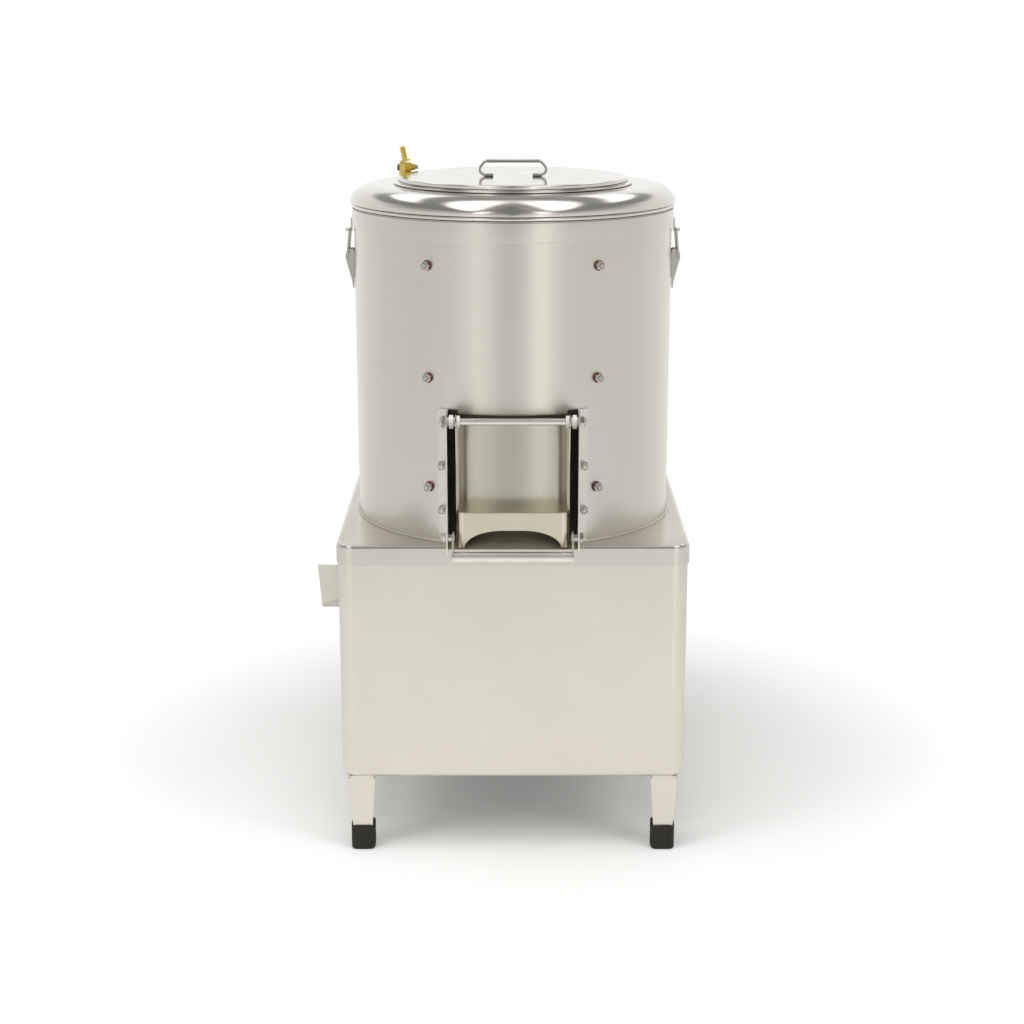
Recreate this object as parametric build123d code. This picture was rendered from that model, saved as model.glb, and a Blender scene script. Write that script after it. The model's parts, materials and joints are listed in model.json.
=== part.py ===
from build123d import *
import os
from math import asin, atan2, cos, degrees, hypot, radians, sin, sqrt

# Electric potato peeler: an abrasive drum standing on a motor cabinet, with a lift-off
# cover, a front discharge door and a locking bail. All sizes are in millimetres. Until the
# export the drum's axis is X = Y = 0, the floor is Z = 0 and the door faces -Y.

# ---- Driving dimensions -------------------------------------------------------------
# Cabinet
base_width = 421.0
base_depth = 560.0
base_bottom = 99.0
base_height = 295.0
base_sheet = 1.5
base_corner_r = 20.0
base_rear_r = 14.0
base_hem_r = 9.0
base_rim = 58.0
cap_skirt = 24.5
cap_edge_r = 4.0
lap_gap = 0.15
rear_return = 30.0
panel_screw_inset = 7.0
louvre_rows = 7
louvre_length = 110.0
louvre_height = 6.0
louvre_pitch = 16.0
louvre_low = 130.0
panel_screw_r = 2.5

# Legs and feet
leg_top_w = 33.0
leg_end_w = 20.4
leg_sheet = 2.0
leg_inset = 25.2
leg_plate_t = 3.0
foot_width = 29.0
foot_height = 31.0
foot_floor = 6.0
foot_clearance = 0.3

# Drum
drum_radius = 195.0
drum_sheet = 1.5
drum_height = 377.0
drum_setback = 1.0
floor_sheet = 2.0
drain_radius = 20.0
drain_wall = 1.8
drain_reach = 290.0
drain_lift = 5.0
drain_weld = 4.0
lining_sheet = 4.0
lining_gap = 0.2
lining_low = 31.0
lining_high = 351.0
lining_start = 24.5
lining_end = 178.5
lining_rows = (66.0, 197.0, 328.0)
lining_columns = (30.5, 102.0, 172.0)
m6_radius = 3.0
m6_flats = 10.0
m6_head_r = 5.6
m6_head_t = 1.8
fit_gap = 0.1
washer_r = 6.2
washer_t = 1.5

# Cover, lid and handle
skirt_overlap = 20.0
skirt_gap = 0.7
cover_sheet = 1.5
seal_height = 3.0
seal_width = 4.0
bead_radius = 2.5
dome_bulge = 2.0
dome_width = 32.0
dome_height = 21.0
mouth_radius = 133.0
mouth_collar = 5.0
lid_radius = 140.0
lid_height = 8.2
lid_sheet = 1.2
lid_flange = 6.0
handle_top_half = 34.0
handle_waist_half = 44.0
handle_foot_half = 27.0
handle_rise = 18.0
handle_strap_w = 22.0
handle_strap_t = 2.6
handle_bend_r = 7.0

# Toggle latches
latch_plate_t = 1.5
latch_width = 16.0
latch_sheet = 1.2
latch_pivot_out = 5.2
latch_pivot_below = 56.0
latch_wire_r = 1.4
latch_crank_out = 3.6
latch_crank_down = 5.5
latch_pin_r = 1.5
latch_tail = 41.0
latch_eye_r = 2.8
latch_neck_low = 8.0
latch_neck_high = 0.8
latch_plate_low = 30.0
latch_plate_high = 3.0
strike_height = 16.0
strike_reach = 6.0
strike_lip = 2.0

# Water inlet
inlet_x = -137.0
inlet_y = 100.0
nipple_r = 4.0
nipple_bore_r = 2.2
inlet_nut_t = 3.6
valve_flats = 15.0
valve_height = 13.0
valve_boss_r = 5.2
valve_boss_reach = 12.5
spindle_r = 2.6
hose_tail_r = 3.1
hose_barb_r = 4.0
hose_tail_length = 19.0
hose_tail_lean = 12.0

# Discharge outlet
outlet_half = 75.6
outlet_low = 41.0
outlet_high = 143.0
opening_half = 60.0
cheek_sheet = 2.0
cheek_top = 162.0
cheek_depth = 36.0
cheek_flange = 12.4
stud_out = 4.8
stud_rows = (40.5, 94.0)
seal_gap = 0.2
gasket_t = 3.0
gasket_rise = 14.0
seat_gap = 0.3
door_half = 66.3
door_sheet = 1.5
door_low = 43.5
door_high = 151.0
rod_radius = 4.0
rod_out = 20.0
rod_height = 154.0
running_gap = 0.05
outer_bush_r = 8.0
inner_bush_r = 7.2
inner_bush_w = 3.7
bush_core_r = 5.2
bush_step = 2.0
ear_radius = 8.0
web_return = 3.4
limb_foot = 3.0
limb_top_gap = 0.5
chute_tab = 6.0
chute_side_gap = 0.3
hood_reach = 36.5
hood_top = 50.5
hood_drop = 42.5
hood_side_r = 8.0
arch_flat_half = 12.0
arch_half = 56.0
arch_rise = 20.7
chute_sheet = 1.5
chute_level = 38.0
chute_lip = 5.0
chute_reach = 31.0
chute_shelf = 5.0
bail_pivot_out = 31.0
bail_pivot_height = 19.0
bail_swing_out = 24.0
bail_swing_down = 17.0
bail_tube_r = 6.25
bail_tube_wall = 1.2
bail_arm_t = 2.0
bail_arm_r = 7.8
bail_half = 68.4
dome_nut_h = 8.0
seat_film = 0.05

# Drive
disc_clearance = 6.3
disc_sheet = 6.0
disc_level = 36.0
wave_count = 3
wave_rise = 13.0
wave_radius = 48.0
wave_inner = 46.0
shaft_radius = 12.5
shaft_low = 142.0
neck_radius = 30.0
neck_rise = 26.0
housing_flange_r = 68.0
housing_flange_t = 12.0
housing_bolt_inset = 14.0
housing_rib_h = 55.0
housing_radius = 38.0
housing_length = 178.0
bearing_radius = 26.0
bearing_width = 15.0
hub_radius = 30.0
pulley_radius = 110.0
pulley_width = 22.0
pulley_level = 149.0
groove_depth = 11.0
motor_pulley_radius = 33.0
motor_offset = 235.0
motor_radius = 68.0
motor_height = 150.0
motor_flange_r = 80.0
motor_flange_t = 10.0
motor_fins = 20
motor_fin_depth = 6.0
motor_shaft_r = 9.5
motor_plate_level = 196.0
motor_plate_t = 4.0
motor_plate_depth = 190.0
motor_plate_flange = 30.0
motor_spigot_r = 30.0
motor_shaft_in = 39.0
motor_cowl_h = 34.0
terminal_box = (28.0, 60.0, 26.0)
terminal_box_low = 40.0
motor_bolt_inset = 9.0
belt_width = 12.6
belt_height = 8.0
belt_gap = 0.25
belt_inset = 1.5
groove_narrowing = 1.3
groove_flare = 3.2
m8_radius = 4.0
m8_flats = 13.0
m8_head_t = 5.3
m10_radius = 5.0
m10_flats = 17.0
m10_head_t = 6.4

# Controls
knob_y = -120.0
knob_height = 223.0
knob_radius = 26.0
knob_length = 30.0
knob_flutes = 28
knob_grip_low = 19.0
knob_grip_high = 7.0
knob_turn = 24.0
knob_slant = 7.0
knob_gap = 1.0
timer_size = 48.0
timer_depth = 42.0
timer_shaft_r = 3.0
gland_inset = 80.5
gland_height = 46.0
gland_radius = 10.0
gland_reach = 20.0

# ---- Derived places -----------------------------------------------------------------
base_top = base_bottom + base_height
base_front_y = -(drum_radius + drum_setback)
base_back_y = base_front_y + base_depth
shell_inset = base_sheet + lap_gap
shell_top = base_top - cap_edge_r
shell_rear_inset = shell_inset + base_sheet
shell_inner_half = base_width / 2 - shell_inset - base_sheet
drum_inner_r = drum_radius - drum_sheet
drum_top = base_top + drum_height
floor_top = base_top + floor_sheet
lining_outer_r = drum_inner_r - lining_gap
lining_inner_r = lining_outer_r - lining_sheet
skirt_inner_r = drum_radius + skirt_gap
skirt_outer_r = skirt_inner_r + cover_sheet
ledge_z = drum_top + seal_height
dome_base_z = ledge_z + 2 * bead_radius + 1.3
dome_radius = skirt_outer_r + dome_bulge
dome_top = dome_base_z + dome_height
lid_top = dome_top + lid_height
latch_pivot_x = drum_radius + latch_pivot_out
latch_pivot_z = ledge_z - latch_pivot_below
latch_crank_x = latch_pivot_x + latch_crank_out
latch_crank_z = latch_pivot_z - latch_crank_down
strike_top_z = ledge_z - 15.0
strike_floor_z = strike_top_z - strike_height
strike_face_x = skirt_outer_r + 0.1 + latch_plate_t
latch_bar_x = strike_face_x + latch_wire_r + 0.3
latch_bar_z = strike_floor_z + latch_plate_t + latch_wire_r + 0.1
cheek_front_y = -(drum_radius + cheek_depth)
rod_y = -(drum_radius + rod_out)
rod_z = base_top + rod_height
flange_inner_r = drum_radius + fit_gap
flange_outer_r = flange_inner_r + cheek_sheet
stud_angle = degrees(asin((outlet_half + cheek_sheet + stud_out) / flange_outer_r))
gasket_inner_r = drum_radius + seal_gap
gasket_outer_r = gasket_inner_r + gasket_t
door_inner_r = gasket_outer_r + seat_gap
door_outer_r = door_inner_r + door_sheet
hood_half = door_half - door_sheet - fit_gap
hood_front_y = -(drum_radius + hood_reach)
hood_top_z = base_top + hood_top
hood_low_z = hood_top_z - hood_drop
bail_y = -(drum_radius + bail_pivot_out)
bail_z = base_top + bail_pivot_height
chute_z = base_top + chute_level
chute_shelf_y = -(drum_radius + chute_shelf)
chute_lip_y = -(drum_radius + chute_reach)
chute_lip_z = base_top + chute_lip
disc_z = base_top + disc_level
disc_radius = lining_inner_r - disc_clearance
neck_top = base_top + neck_rise
housing_top = base_top - base_sheet
housing_low = housing_top - housing_length
groove_foot_half = belt_width / 2 - groove_narrowing
belt_clear = groove_depth - belt_inset - belt_height
belt_half = groove_foot_half + groove_flare * belt_clear / (groove_depth + 1) - belt_gap
knob_z = base_bottom + knob_height
wall_x = base_width / 2 - shell_inset
knob_tip_x = -(wall_x + knob_gap + knob_length)
gland_x = base_width / 2 - gland_inset
gland_tip_y = base_back_y - shell_inset + gland_reach
bail_tip_y = bail_y - bail_swing_out - bail_arm_r
# The row's origin: the middle of the bounding box, on the floor.
centre_x = (knob_tip_x + base_width / 2) / 2
centre_y = (bail_tip_y + gland_tip_y) / 2


# ---- Shared shapes ------------------------------------------------------------------
def block(x0, x1, y0, y1, z0, z1):
    """A box between two corners."""
    place = Pos((x0 + x1) / 2, (y0 + y1) / 2, (z0 + z1) / 2)
    return place * Box(x1 - x0, y1 - y0, z1 - z0)


def rod(radius, low, high, x=0.0, y=0.0):
    """An upright cylinder from one height to another."""
    return Pos(x, y, (low + high) / 2) * Cylinder(radius, high - low)


def ring(outer, inner, low, high, x=0.0, y=0.0):
    """An upright tube."""
    return rod(outer, low, high, x, y) - rod(inner, low - 1, high + 1, x, y)


def rod_x(radius, x0, x1, y, z):
    """A cylinder along X."""
    return Pos((x0 + x1) / 2, y, z) * Rot(0, 90, 0) * Cylinder(radius, abs(x1 - x0))


def rod_y_axis(radius, y0, y1, x, z):
    """A cylinder along Y."""
    return Pos(x, (y0 + y1) / 2, z) * Rot(90, 0, 0) * Cylinder(radius, abs(y1 - y0))


def hexagon(flats, height):
    """A hexagonal prism standing on Z = 0."""
    return extrude(RegularPolygon(flats / sqrt(3), 6), height)


def side_plate(points, x0, x1):
    """A flat plate in the YZ plane, from (y, z) points, between two X faces."""
    outline = Polyline(*[(0, y, z) for y, z in points], close=True)
    return Pos(x0, 0, 0) * extrude(make_face(outline), x1 - x0, dir=(1, 0, 0))


def both_sides(shape):
    """The shape and its mirror image across the YZ plane."""
    return [shape, mirror(shape, about=Plane.YZ)]


def drum_shape(outer, inner, half, low, high):
    """A curved strip of the drum's front, of a given half width."""
    strip = ring(outer, inner, low, high)
    return strip & block(-half, half, -outer - 5, 0, low - 1, high + 1)


def cabinet_plan(inset, rear_inset):
    """The cabinet's outline at a distance inside its faces."""
    front_y = base_front_y + inset
    back_y = base_back_y - rear_inset
    plan = Pos(0, (front_y + back_y) / 2) * Rectangle(base_width - 2 * inset, back_y - front_y)
    plan = fillet(plan.vertices().sort_by(Axis.Y)[:2], base_corner_r - inset)
    return fillet(plan.vertices().sort_by(Axis.Y)[-2:], base_rear_r - inset)


def cabinet_block(inset, rear_inset, low, high):
    """A solid of the cabinet's outline."""
    return extrude(Pos(0, 0, low) * cabinet_plan(inset, rear_inset), high - low)


# ---- Cabinet ------------------------------------------------------------------------
def make_base_top():
    """The deck: a shallow pan that caps the cabinet, with a down-turned skirt."""
    low = base_top - cap_skirt
    outer = cabinet_block(0, 0, low, base_top)
    outer = fillet(outer.faces().sort_by(Axis.Z)[-1].edges(), cap_edge_r)
    inner = cabinet_block(base_sheet, base_sheet, low, base_top - base_sheet)
    inner = fillet(inner.faces().sort_by(Axis.Z)[-1].edges(), cap_edge_r - base_sheet)
    deck = outer - inner
    deck -= rod(neck_radius + lap_gap, base_top - 10, base_top + 10)
    for x, y in housing_bolt_places():
        deck -= rod(m8_radius + fit_gap, base_top - 10, base_top + 10, x, y)
    return deck


def make_base_shell():
    """Front and sides folded from one sheet, hemmed below and returned at the rear."""
    outer = cabinet_block(shell_inset, shell_rear_inset, base_bottom, shell_top)
    outer = fillet(outer.faces().sort_by(Axis.Z)[0].edges(), base_hem_r)
    inset = shell_inset + base_sheet
    rear_inset = shell_rear_inset + base_sheet
    inner = cabinet_block(inset, rear_inset, base_bottom + base_sheet, shell_top)
    inner = fillet(inner.faces().sort_by(Axis.Z)[0].edges(), base_hem_r - base_sheet)
    shell = outer - inner
    half = base_width / 2
    shell -= block(
        -half + base_rim, half - base_rim,
        base_front_y + base_rim, base_back_y - base_rim,
        base_bottom - 1, base_bottom + base_sheet + 1,
    )
    shell -= block(
        -half + rear_return, half - rear_return,
        base_back_y - rear_inset - 2, base_back_y,
        base_bottom + rear_return, shell_top + 1,
    )
    shell -= rod_x(timer_shaft_r + 2, -half, -shell_inner_half + 1, knob_y, knob_z)
    for x, y in leg_places():
        shell -= rod(m10_radius + fit_gap, base_bottom - 1, base_bottom + 5, x, y)
    for x, z in panel_screw_places():
        shell -= rod_y_axis(panel_screw_r + fit_gap, base_back_y - 10, base_back_y, x, z)
    return shell


def panel_screw_places():
    """Screws down both edges of the rear panel."""
    x = base_width / 2 - rear_return + panel_screw_inset
    low = base_bottom + rear_return + 10
    high = shell_top - cap_skirt - 8
    return [(side * x, z) for side in (-1, 1) for z in (low, (low + high) / 2, high)]


def make_rear_panel():
    """The removable rear panel, with rows of pressed louvres in two columns."""
    back = base_back_y - shell_inset
    front = back - base_sheet
    half = base_width / 2 - shell_inset - base_rear_r
    panel = block(-half, half, front, back, base_bottom + base_hem_r, shell_top)
    first = base_bottom + louvre_low
    for column in (-1, 1):
        x = column * (louvre_length / 2 + 22)
        for row in range(louvre_rows):
            z = first + row * louvre_pitch
            panel -= block(
                x - louvre_length / 2, x + louvre_length / 2,
                front - 1, back + 1, z, z + louvre_height,
            )
            hood = [
                (front, z + louvre_height), (back, z + louvre_height),
                (back + 4, z + 1), (back + 2.8, z + 0.2),
            ]
            panel += side_plate(hood, x - louvre_length / 2, x + louvre_length / 2)
    for x, z in panel_screw_places():
        panel -= rod_y_axis(panel_screw_r + fit_gap, front - 1, back + 1, x, z)
    panel -= rod_y_axis(gland_radius * 0.8, front - 1, back + 1, gland_x, gland_z())
    return panel


def make_panel_screws():
    """Pan-head screws of the rear panel."""
    back = base_back_y - shell_inset
    screws = []
    for x, z in panel_screw_places():
        shank = rod_y_axis(panel_screw_r, back - 8, back + 1, x, z)
        head = rod_y_axis(panel_screw_r * 1.8, back, back + 2.4, x, z)
        screws.append(shank + head)
    return screws


def gland_z():
    """Height of the cable gland's axis."""
    return base_bottom + gland_height


def make_cable_gland():
    """The cable gland on the rear panel: body, clamping nut and inner lock nut."""
    back = base_back_y - shell_inset
    front = back - base_sheet
    body = rod_y_axis(gland_radius * 0.8 - fit_gap, front - 8, back + 2, gland_x, gland_z())
    flange = Pos(gland_x, back + 5, gland_z()) * Rot(90, 0, 0) * hexagon(gland_radius * 2.2, 5)
    nut = rod_y_axis(gland_radius, back + 4, back + gland_reach, gland_x, gland_z())
    nut = fillet(nut.edges().sort_by(Axis.Y)[-1], gland_radius * 0.4)
    lock = Pos(gland_x, front, gland_z()) * Rot(90, 0, 0) * hexagon(gland_radius * 2.2, 4)
    bore = rod_y_axis(gland_radius * 0.42, front - 9, back + gland_reach + 1, gland_x, gland_z())
    return body + flange + nut + lock - bore


# ---- Legs and feet ------------------------------------------------------------------
def leg_places():
    """Centres of the four legs."""
    x = base_width / 2 - leg_inset
    front = base_front_y + leg_inset
    rear = base_back_y - leg_inset
    return [(-x, front), (x, front), (-x, rear), (x, rear)]


def leg_taper(extra):
    """The leg's tapered square envelope, grown by a clearance on every side."""
    low = Pos(0, 0, foot_floor) * Rectangle(leg_end_w + 2 * extra, leg_end_w + 2 * extra)
    top_z = base_bottom - leg_plate_t
    high = Pos(0, 0, top_z) * Rectangle(leg_top_w + 2 * extra, leg_top_w + 2 * extra)
    return loft([low, high])


def make_leg(x, y):
    """A tapered angle leg, its corner outward, under a bolted plate."""
    side = 1 if x > 0 else -1
    end = 1 if y > 0 else -1
    envelope = leg_taper(0)
    angle = envelope - Pos(-side * leg_sheet, -end * leg_sheet, 0) * envelope
    top_z = base_bottom - leg_plate_t
    plate = Pos(0, 0, top_z + leg_plate_t / 2) * Box(leg_top_w, leg_top_w, leg_plate_t)
    plate = fillet(plate.edges().filter_by(Axis.Z), 5)
    plate -= rod(m10_radius + fit_gap, top_z - 1, base_bottom + 1)
    return Pos(x, y, 0) * (angle + plate)


def make_foot(x, y):
    """A rubber cup that the leg's end stands in."""
    plan = fillet(Rectangle(foot_width, foot_width).vertices(), foot_width / 4)
    cup = extrude(plan, foot_height)
    cup = chamfer(cup.faces().sort_by(Axis.Z)[0].edges(), 1.5)
    pocket = leg_taper(foot_clearance)
    return Pos(x, y, 0) * (cup - pocket)


def make_frame_bolts():
    """Hexagon bolts: one up through each leg, four through the bearing housing, four
    through the motor's flange."""
    bolts = []
    for x, y in leg_places():
        top_z = base_bottom - leg_plate_t
        head = Pos(x, y, top_z - m10_head_t) * hexagon(m10_flats, m10_head_t)
        shank = rod(m10_radius, top_z - 1, base_bottom + base_sheet + 6, x, y)
        bolts.append(head + shank)
    for x, y in housing_bolt_places():
        head = Pos(x, y, floor_top) * hexagon(m8_flats, m8_head_t)
        shank = rod(m8_radius, housing_top - housing_flange_t - 4, floor_top + 1, x, y)
        bolts.append(head + shank)
    flange_top = motor_plate_level + motor_plate_t + motor_flange_t
    for x, y in motor_bolt_places():
        head = Pos(x, y, flange_top) * hexagon(m8_flats, m8_head_t)
        shank = rod(m8_radius, motor_plate_level - 7, flange_top + 1, x, y)
        bolts.append(head + shank)
    return bolts


def housing_bolt_places():
    """Bolt circle of the bearing housing."""
    circle = housing_flange_r - housing_bolt_inset
    return [(circle * cos(radians(a)), circle * sin(radians(a))) for a in (45, 135, 225, 315)]


def motor_bolt_places():
    """Bolt circle of the motor's flange."""
    circle = motor_flange_r - motor_bolt_inset
    angles = (45, 135, 225, 315)
    return [
        (circle * cos(radians(a)), motor_offset + circle * sin(radians(a))) for a in angles
    ]


# ---- Drum ---------------------------------------------------------------------------
def around(shape, angle, height):
    """Turn a shape built along +X to an angle from the front, at a height."""
    return Rot(0, 0, angle - 90) * Pos(0, 0, height) * shape


def lining_bolt_stations():
    """Angle and height of every lining bolt."""
    angles = [side * a for side in (-1, 1) for a in lining_columns]
    return [(a, base_top + row) for a in angles for row in lining_rows]


def make_drum_shell():
    """The rolled drum, with the discharge opening, the drain hole and bolt holes."""
    drum = ring(drum_radius, drum_inner_r, base_top, drum_top)
    drum -= block(
        -opening_half, opening_half, -drum_radius - 5, -drum_radius / 2,
        base_top + outlet_low, base_top + outlet_high,
    )
    drum -= rod_y_axis(drain_radius + fit_gap, 0, drum_radius + 5, 0, drain_z())
    for angle, height in lining_bolt_stations():
        hole = rod_x(m6_radius + fit_gap, drum_inner_r - 5, drum_radius + 5, 0, 0)
        drum -= around(hole, angle, height)
    return drum


def drain_z():
    """Height of the drain's axis, just above the drum's floor."""
    return floor_top + drain_lift + drain_radius


def drain_root():
    """Y where the drain's plain tube starts, behind its weld fillet."""
    return drum_radius + drain_weld


def make_drum_floor():
    """The floor plate under the disc, around the bearing housing's neck."""
    floor = rod(drum_inner_r - lap_gap, base_top, floor_top)
    floor -= rod(neck_radius + lap_gap, base_top - 1, floor_top + 1)
    for x, y in housing_bolt_places():
        floor -= rod(m8_radius + fit_gap, base_top - 1, floor_top + 1, x, y)
    return floor


def make_drain_spigot():
    """The waste outlet: a tube through the rear wall for a hose, with its weld fillet."""
    tube = rod_y_axis(drain_radius, drum_radius / 2, drain_reach, 0, drain_z())
    tube -= rod(drum_inner_r, base_top - 5, drum_top)
    root = drain_radius + 2 * drain_weld
    fillet_cone = Cone(root, drain_radius, 2 * drain_weld)
    weld = Pos(0, drain_root(), drain_z()) * Rot(-90, 0, 0) * Pos(0, 0, -drain_weld) * fillet_cone
    weld -= rod(drum_radius + 0.02, base_top - 5, drum_top)
    tube += weld
    return tube - rod_y_axis(drain_radius - drain_wall, 0, drain_reach + 1, 0, drain_z())


def make_lining_panel(side):
    """One half of the abrasive lining, bolted round the inside of the drum."""
    sweep_angle = lining_end - lining_start
    height = lining_high - lining_low
    section = Pos((lining_inner_r + lining_outer_r) / 2, 0, base_top + lining_low + height / 2)
    profile = section * Rot(90, 0, 0) * Rectangle(lining_sheet, height)
    panel = revolve(profile, Axis.Z, sweep_angle)
    panel = Rot(0, 0, lining_start - 90) * panel
    panel -= rod_y_axis(drain_radius + 4, 0, drum_radius, 0, drain_z())
    for angle, level in lining_bolt_stations():
        if angle > 0:
            hole = rod_x(m6_radius + fit_gap, lining_inner_r - 5, drum_radius, 0, 0)
            panel -= around(hole, angle, level)
    return panel if side > 0 else mirror(panel, about=Plane.YZ)


def make_lining_bolts():
    """Flat-head bolts that hold the lining."""
    seat = lining_inner_r - fit_gap
    head = rod_x(m6_head_r, seat - m6_head_t, seat, 0, 0)
    shank = rod_x(m6_radius, seat - 1, drum_radius + washer_t + m6_flats * 0.6, 0, 0)
    return [around(head + shank, a, z) for a, z in lining_bolt_stations()]


def make_lining_washers():
    """Red fibre washers under the nuts, which keep the bolt holes tight."""
    face = drum_radius + seat_film
    washer = rod_x(washer_r, face, face + washer_t, 0, 0)
    washer -= rod_x(m6_radius + fit_gap, face - 1, face + washer_t + 1, 0, 0)
    return [around(washer, a, z) for a, z in lining_bolt_stations()]


def make_lining_nuts():
    """Nuts outside the drum."""
    face = drum_radius + seat_film + washer_t
    nut = Pos(face, 0, 0) * Rot(0, 90, 0) * hexagon(m6_flats, m6_flats * 0.5)
    nut -= rod_x(m6_radius + fit_gap, face - 1, face + m6_flats, 0, 0)
    return [around(nut, a, z) for a, z in lining_bolt_stations()]


# ---- Cover and lid ------------------------------------------------------------------
def revolve_section(points):
    """A solid of revolution from (radius, height) points."""
    outline = Polyline(*[(r, 0, z) for r, z in points], close=True)
    return revolve(make_face(outline), Axis.Z)


def cover_profile():
    """The cover's section: skirt, seal ledge, rolled bead, elliptical dome and collar."""
    t = cover_sheet
    low = ledge_z - seal_height - skirt_overlap
    bead_low = ledge_z + 0.7
    bead_top = bead_low + 2 * bead_radius
    groove_r = skirt_outer_r - 0.9
    crown_r = dome_radius - dome_width
    inner_r = dome_radius - t
    below_bead = Polyline(
        (crown_r, dome_top - t), (mouth_radius, dome_top - t),
        (mouth_radius, dome_top + mouth_collar), (mouth_radius + t, dome_top + mouth_collar),
        (mouth_radius + t, dome_top), (crown_r, dome_top),
    )
    skirt = Polyline(
        (dome_radius, dome_base_z), (skirt_outer_r, dome_base_z - 0.2),
        (skirt_outer_r - 0.2, bead_top),
    )
    bead = ThreePointArc(
        (skirt_outer_r - 0.2, bead_top), (skirt_outer_r + 1.5, bead_low + bead_radius),
        (groove_r, bead_low),
    )
    inside = Polyline(
        (groove_r, bead_low), (groove_r, ledge_z - 0.9), (skirt_outer_r, ledge_z - 0.9),
        (skirt_outer_r, low), (skirt_inner_r, low), (skirt_inner_r, ledge_z),
        (drum_radius - seal_width, ledge_z), (drum_radius - seal_width, ledge_z + t),
        (groove_r - t, ledge_z + t), (groove_r - t, dome_base_z - 1.4),
        (inner_r, dome_base_z - 0.4), (inner_r, dome_base_z),
    )
    centre = (crown_r, dome_base_z)
    outer_arc = EllipticalCenterArc(centre, dome_width, dome_height, 0)
    inner_arc = EllipticalCenterArc(centre, dome_width - t, dome_height - t, 0)
    return make_face(below_bead + outer_arc + skirt + bead + inside + inner_arc)


def make_cover():
    """The lift-off cover, spun in one piece, with a hole for the water inlet."""
    cover = revolve(Plane.XZ * cover_profile(), Axis.Z)
    return cover - rod(nipple_r + fit_gap, dome_top - 10, dome_top + 10, inlet_x, inlet_y)


def make_cover_seal():
    """The rubber seal on the drum's rim, under the cover's ledge."""
    outer = drum_radius + skirt_gap - lap_gap
    seal = ring(outer, drum_radius - seal_width, drum_top, ledge_z)
    return chamfer(seal.edges().filter_by(GeomType.CIRCLE), 0.6)


def make_lid():
    """The loading lid: a shallow inverted pan with a rolled flange round its foot."""
    t = lid_sheet
    foot = dome_top
    r = lid_radius
    profile = [
        (0, lid_top), (r - 2, lid_top), (r, lid_top - 1.8), (r + 1.2, foot + 2.6),
        (r + lid_flange - 1, foot + 1.8), (r + lid_flange, foot + 0.9), (r + lid_flange, foot),
        (r + lid_flange - 2, foot), (r + lid_flange - 2, foot + 0.7), (r, foot + 1.4),
        (r - t, lid_top - 2.4), (r - 2.6, lid_top - t), (0, lid_top - t),
    ]
    return revolve_section(profile)


def make_lid_handle():
    """The lid's handle: one strap bent to an arch, its feet turned in on the lid."""
    mid = handle_strap_t / 2
    foot_z = lid_top + mid
    top_z = foot_z + handle_rise - mid
    waist_z = lid_top + handle_rise * 0.36
    right = [
        (handle_top_half, top_z), (handle_waist_half, waist_z), (handle_foot_half + 7, foot_z),
        (handle_foot_half - 3, foot_z),
    ]
    left = [(-x, z) for x, z in reversed(right)]
    path = FilletPolyline(*(left + right), radius=handle_bend_r / 2)
    strap = Plane.XZ * trace(path, handle_strap_t)
    return extrude(strap, handle_strap_w / 2, both=True)


# ---- Toggle latches -----------------------------------------------------------------
def xz_plate(points, half):
    """A plate from (x, z) points, centred on Y = 0."""
    outline = Polyline(*[(x, 0, z) for x, z in points], close=True)
    return extrude(make_face(outline), half, both=True)


def make_latch_strike():
    """The hook on the cover's skirt that the wire loop pulls down."""
    face = skirt_outer_r + 0.1
    back = strike_face_x
    low = strike_floor_z
    t = latch_plate_t
    tip = back + strike_reach
    profile = [
        (face, strike_top_z), (back, strike_top_z), (back, low + t), (tip - t, low + t),
        (tip - 0.4, low + t + strike_lip), (tip + 0.6, low + t + strike_lip - 0.6), (tip, low),
        (face, low),
    ]
    return xz_plate(profile, latch_width / 2)


def make_latch_base():
    """The latch's plate on the drum, with two ears round the lever's pin."""
    face = drum_radius + 0.1
    ear_outer = latch_width / 2 - latch_sheet - 0.4
    high = latch_pivot_z - latch_plate_high
    low = latch_pivot_z - latch_plate_low
    base = block(face, face + latch_plate_t, -ear_outer, ear_outer, low, high)
    for side in (-1, 1):
        y0, y1 = sorted((side * ear_outer, side * (ear_outer - latch_sheet)))
        ear = block(
            face, latch_pivot_x, y0, y1,
            latch_pivot_z - latch_neck_low, latch_pivot_z - latch_neck_high,
        )
        ear += rod_y_axis(latch_eye_r, y0, y1, latch_pivot_x, latch_pivot_z)
        base += ear
    return base - rod_y_axis(latch_pin_r + running_gap, -20, 20, latch_pivot_x, latch_pivot_z)


def make_latch_pin():
    """The pin that the lever turns on."""
    half = latch_width / 2
    return rod_y_axis(latch_pin_r, -half, half, latch_pivot_x, latch_pivot_z)


def lever_outline():
    """The lever's side profile as (x, z) points, drawn from its crown to its tail."""
    px, pz = latch_pivot_x, latch_pivot_z
    return [
        (px - 4.3, pz + 1.8), (px - 2.6, pz + 3.4), (px + 2.6, pz + 3.0), (px + 4.8, pz + 0.6),
        (px + 6.0, pz - 3.2), (px + 6.2, pz - 8.0), (px - 1.4, pz - latch_tail + 5.0),
        (px - 2.4, pz - latch_tail - 4.0), (px - 3.6, pz - latch_tail - 4.4),
        (px - 4.2, pz - latch_tail + 4.0),
    ]


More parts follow.
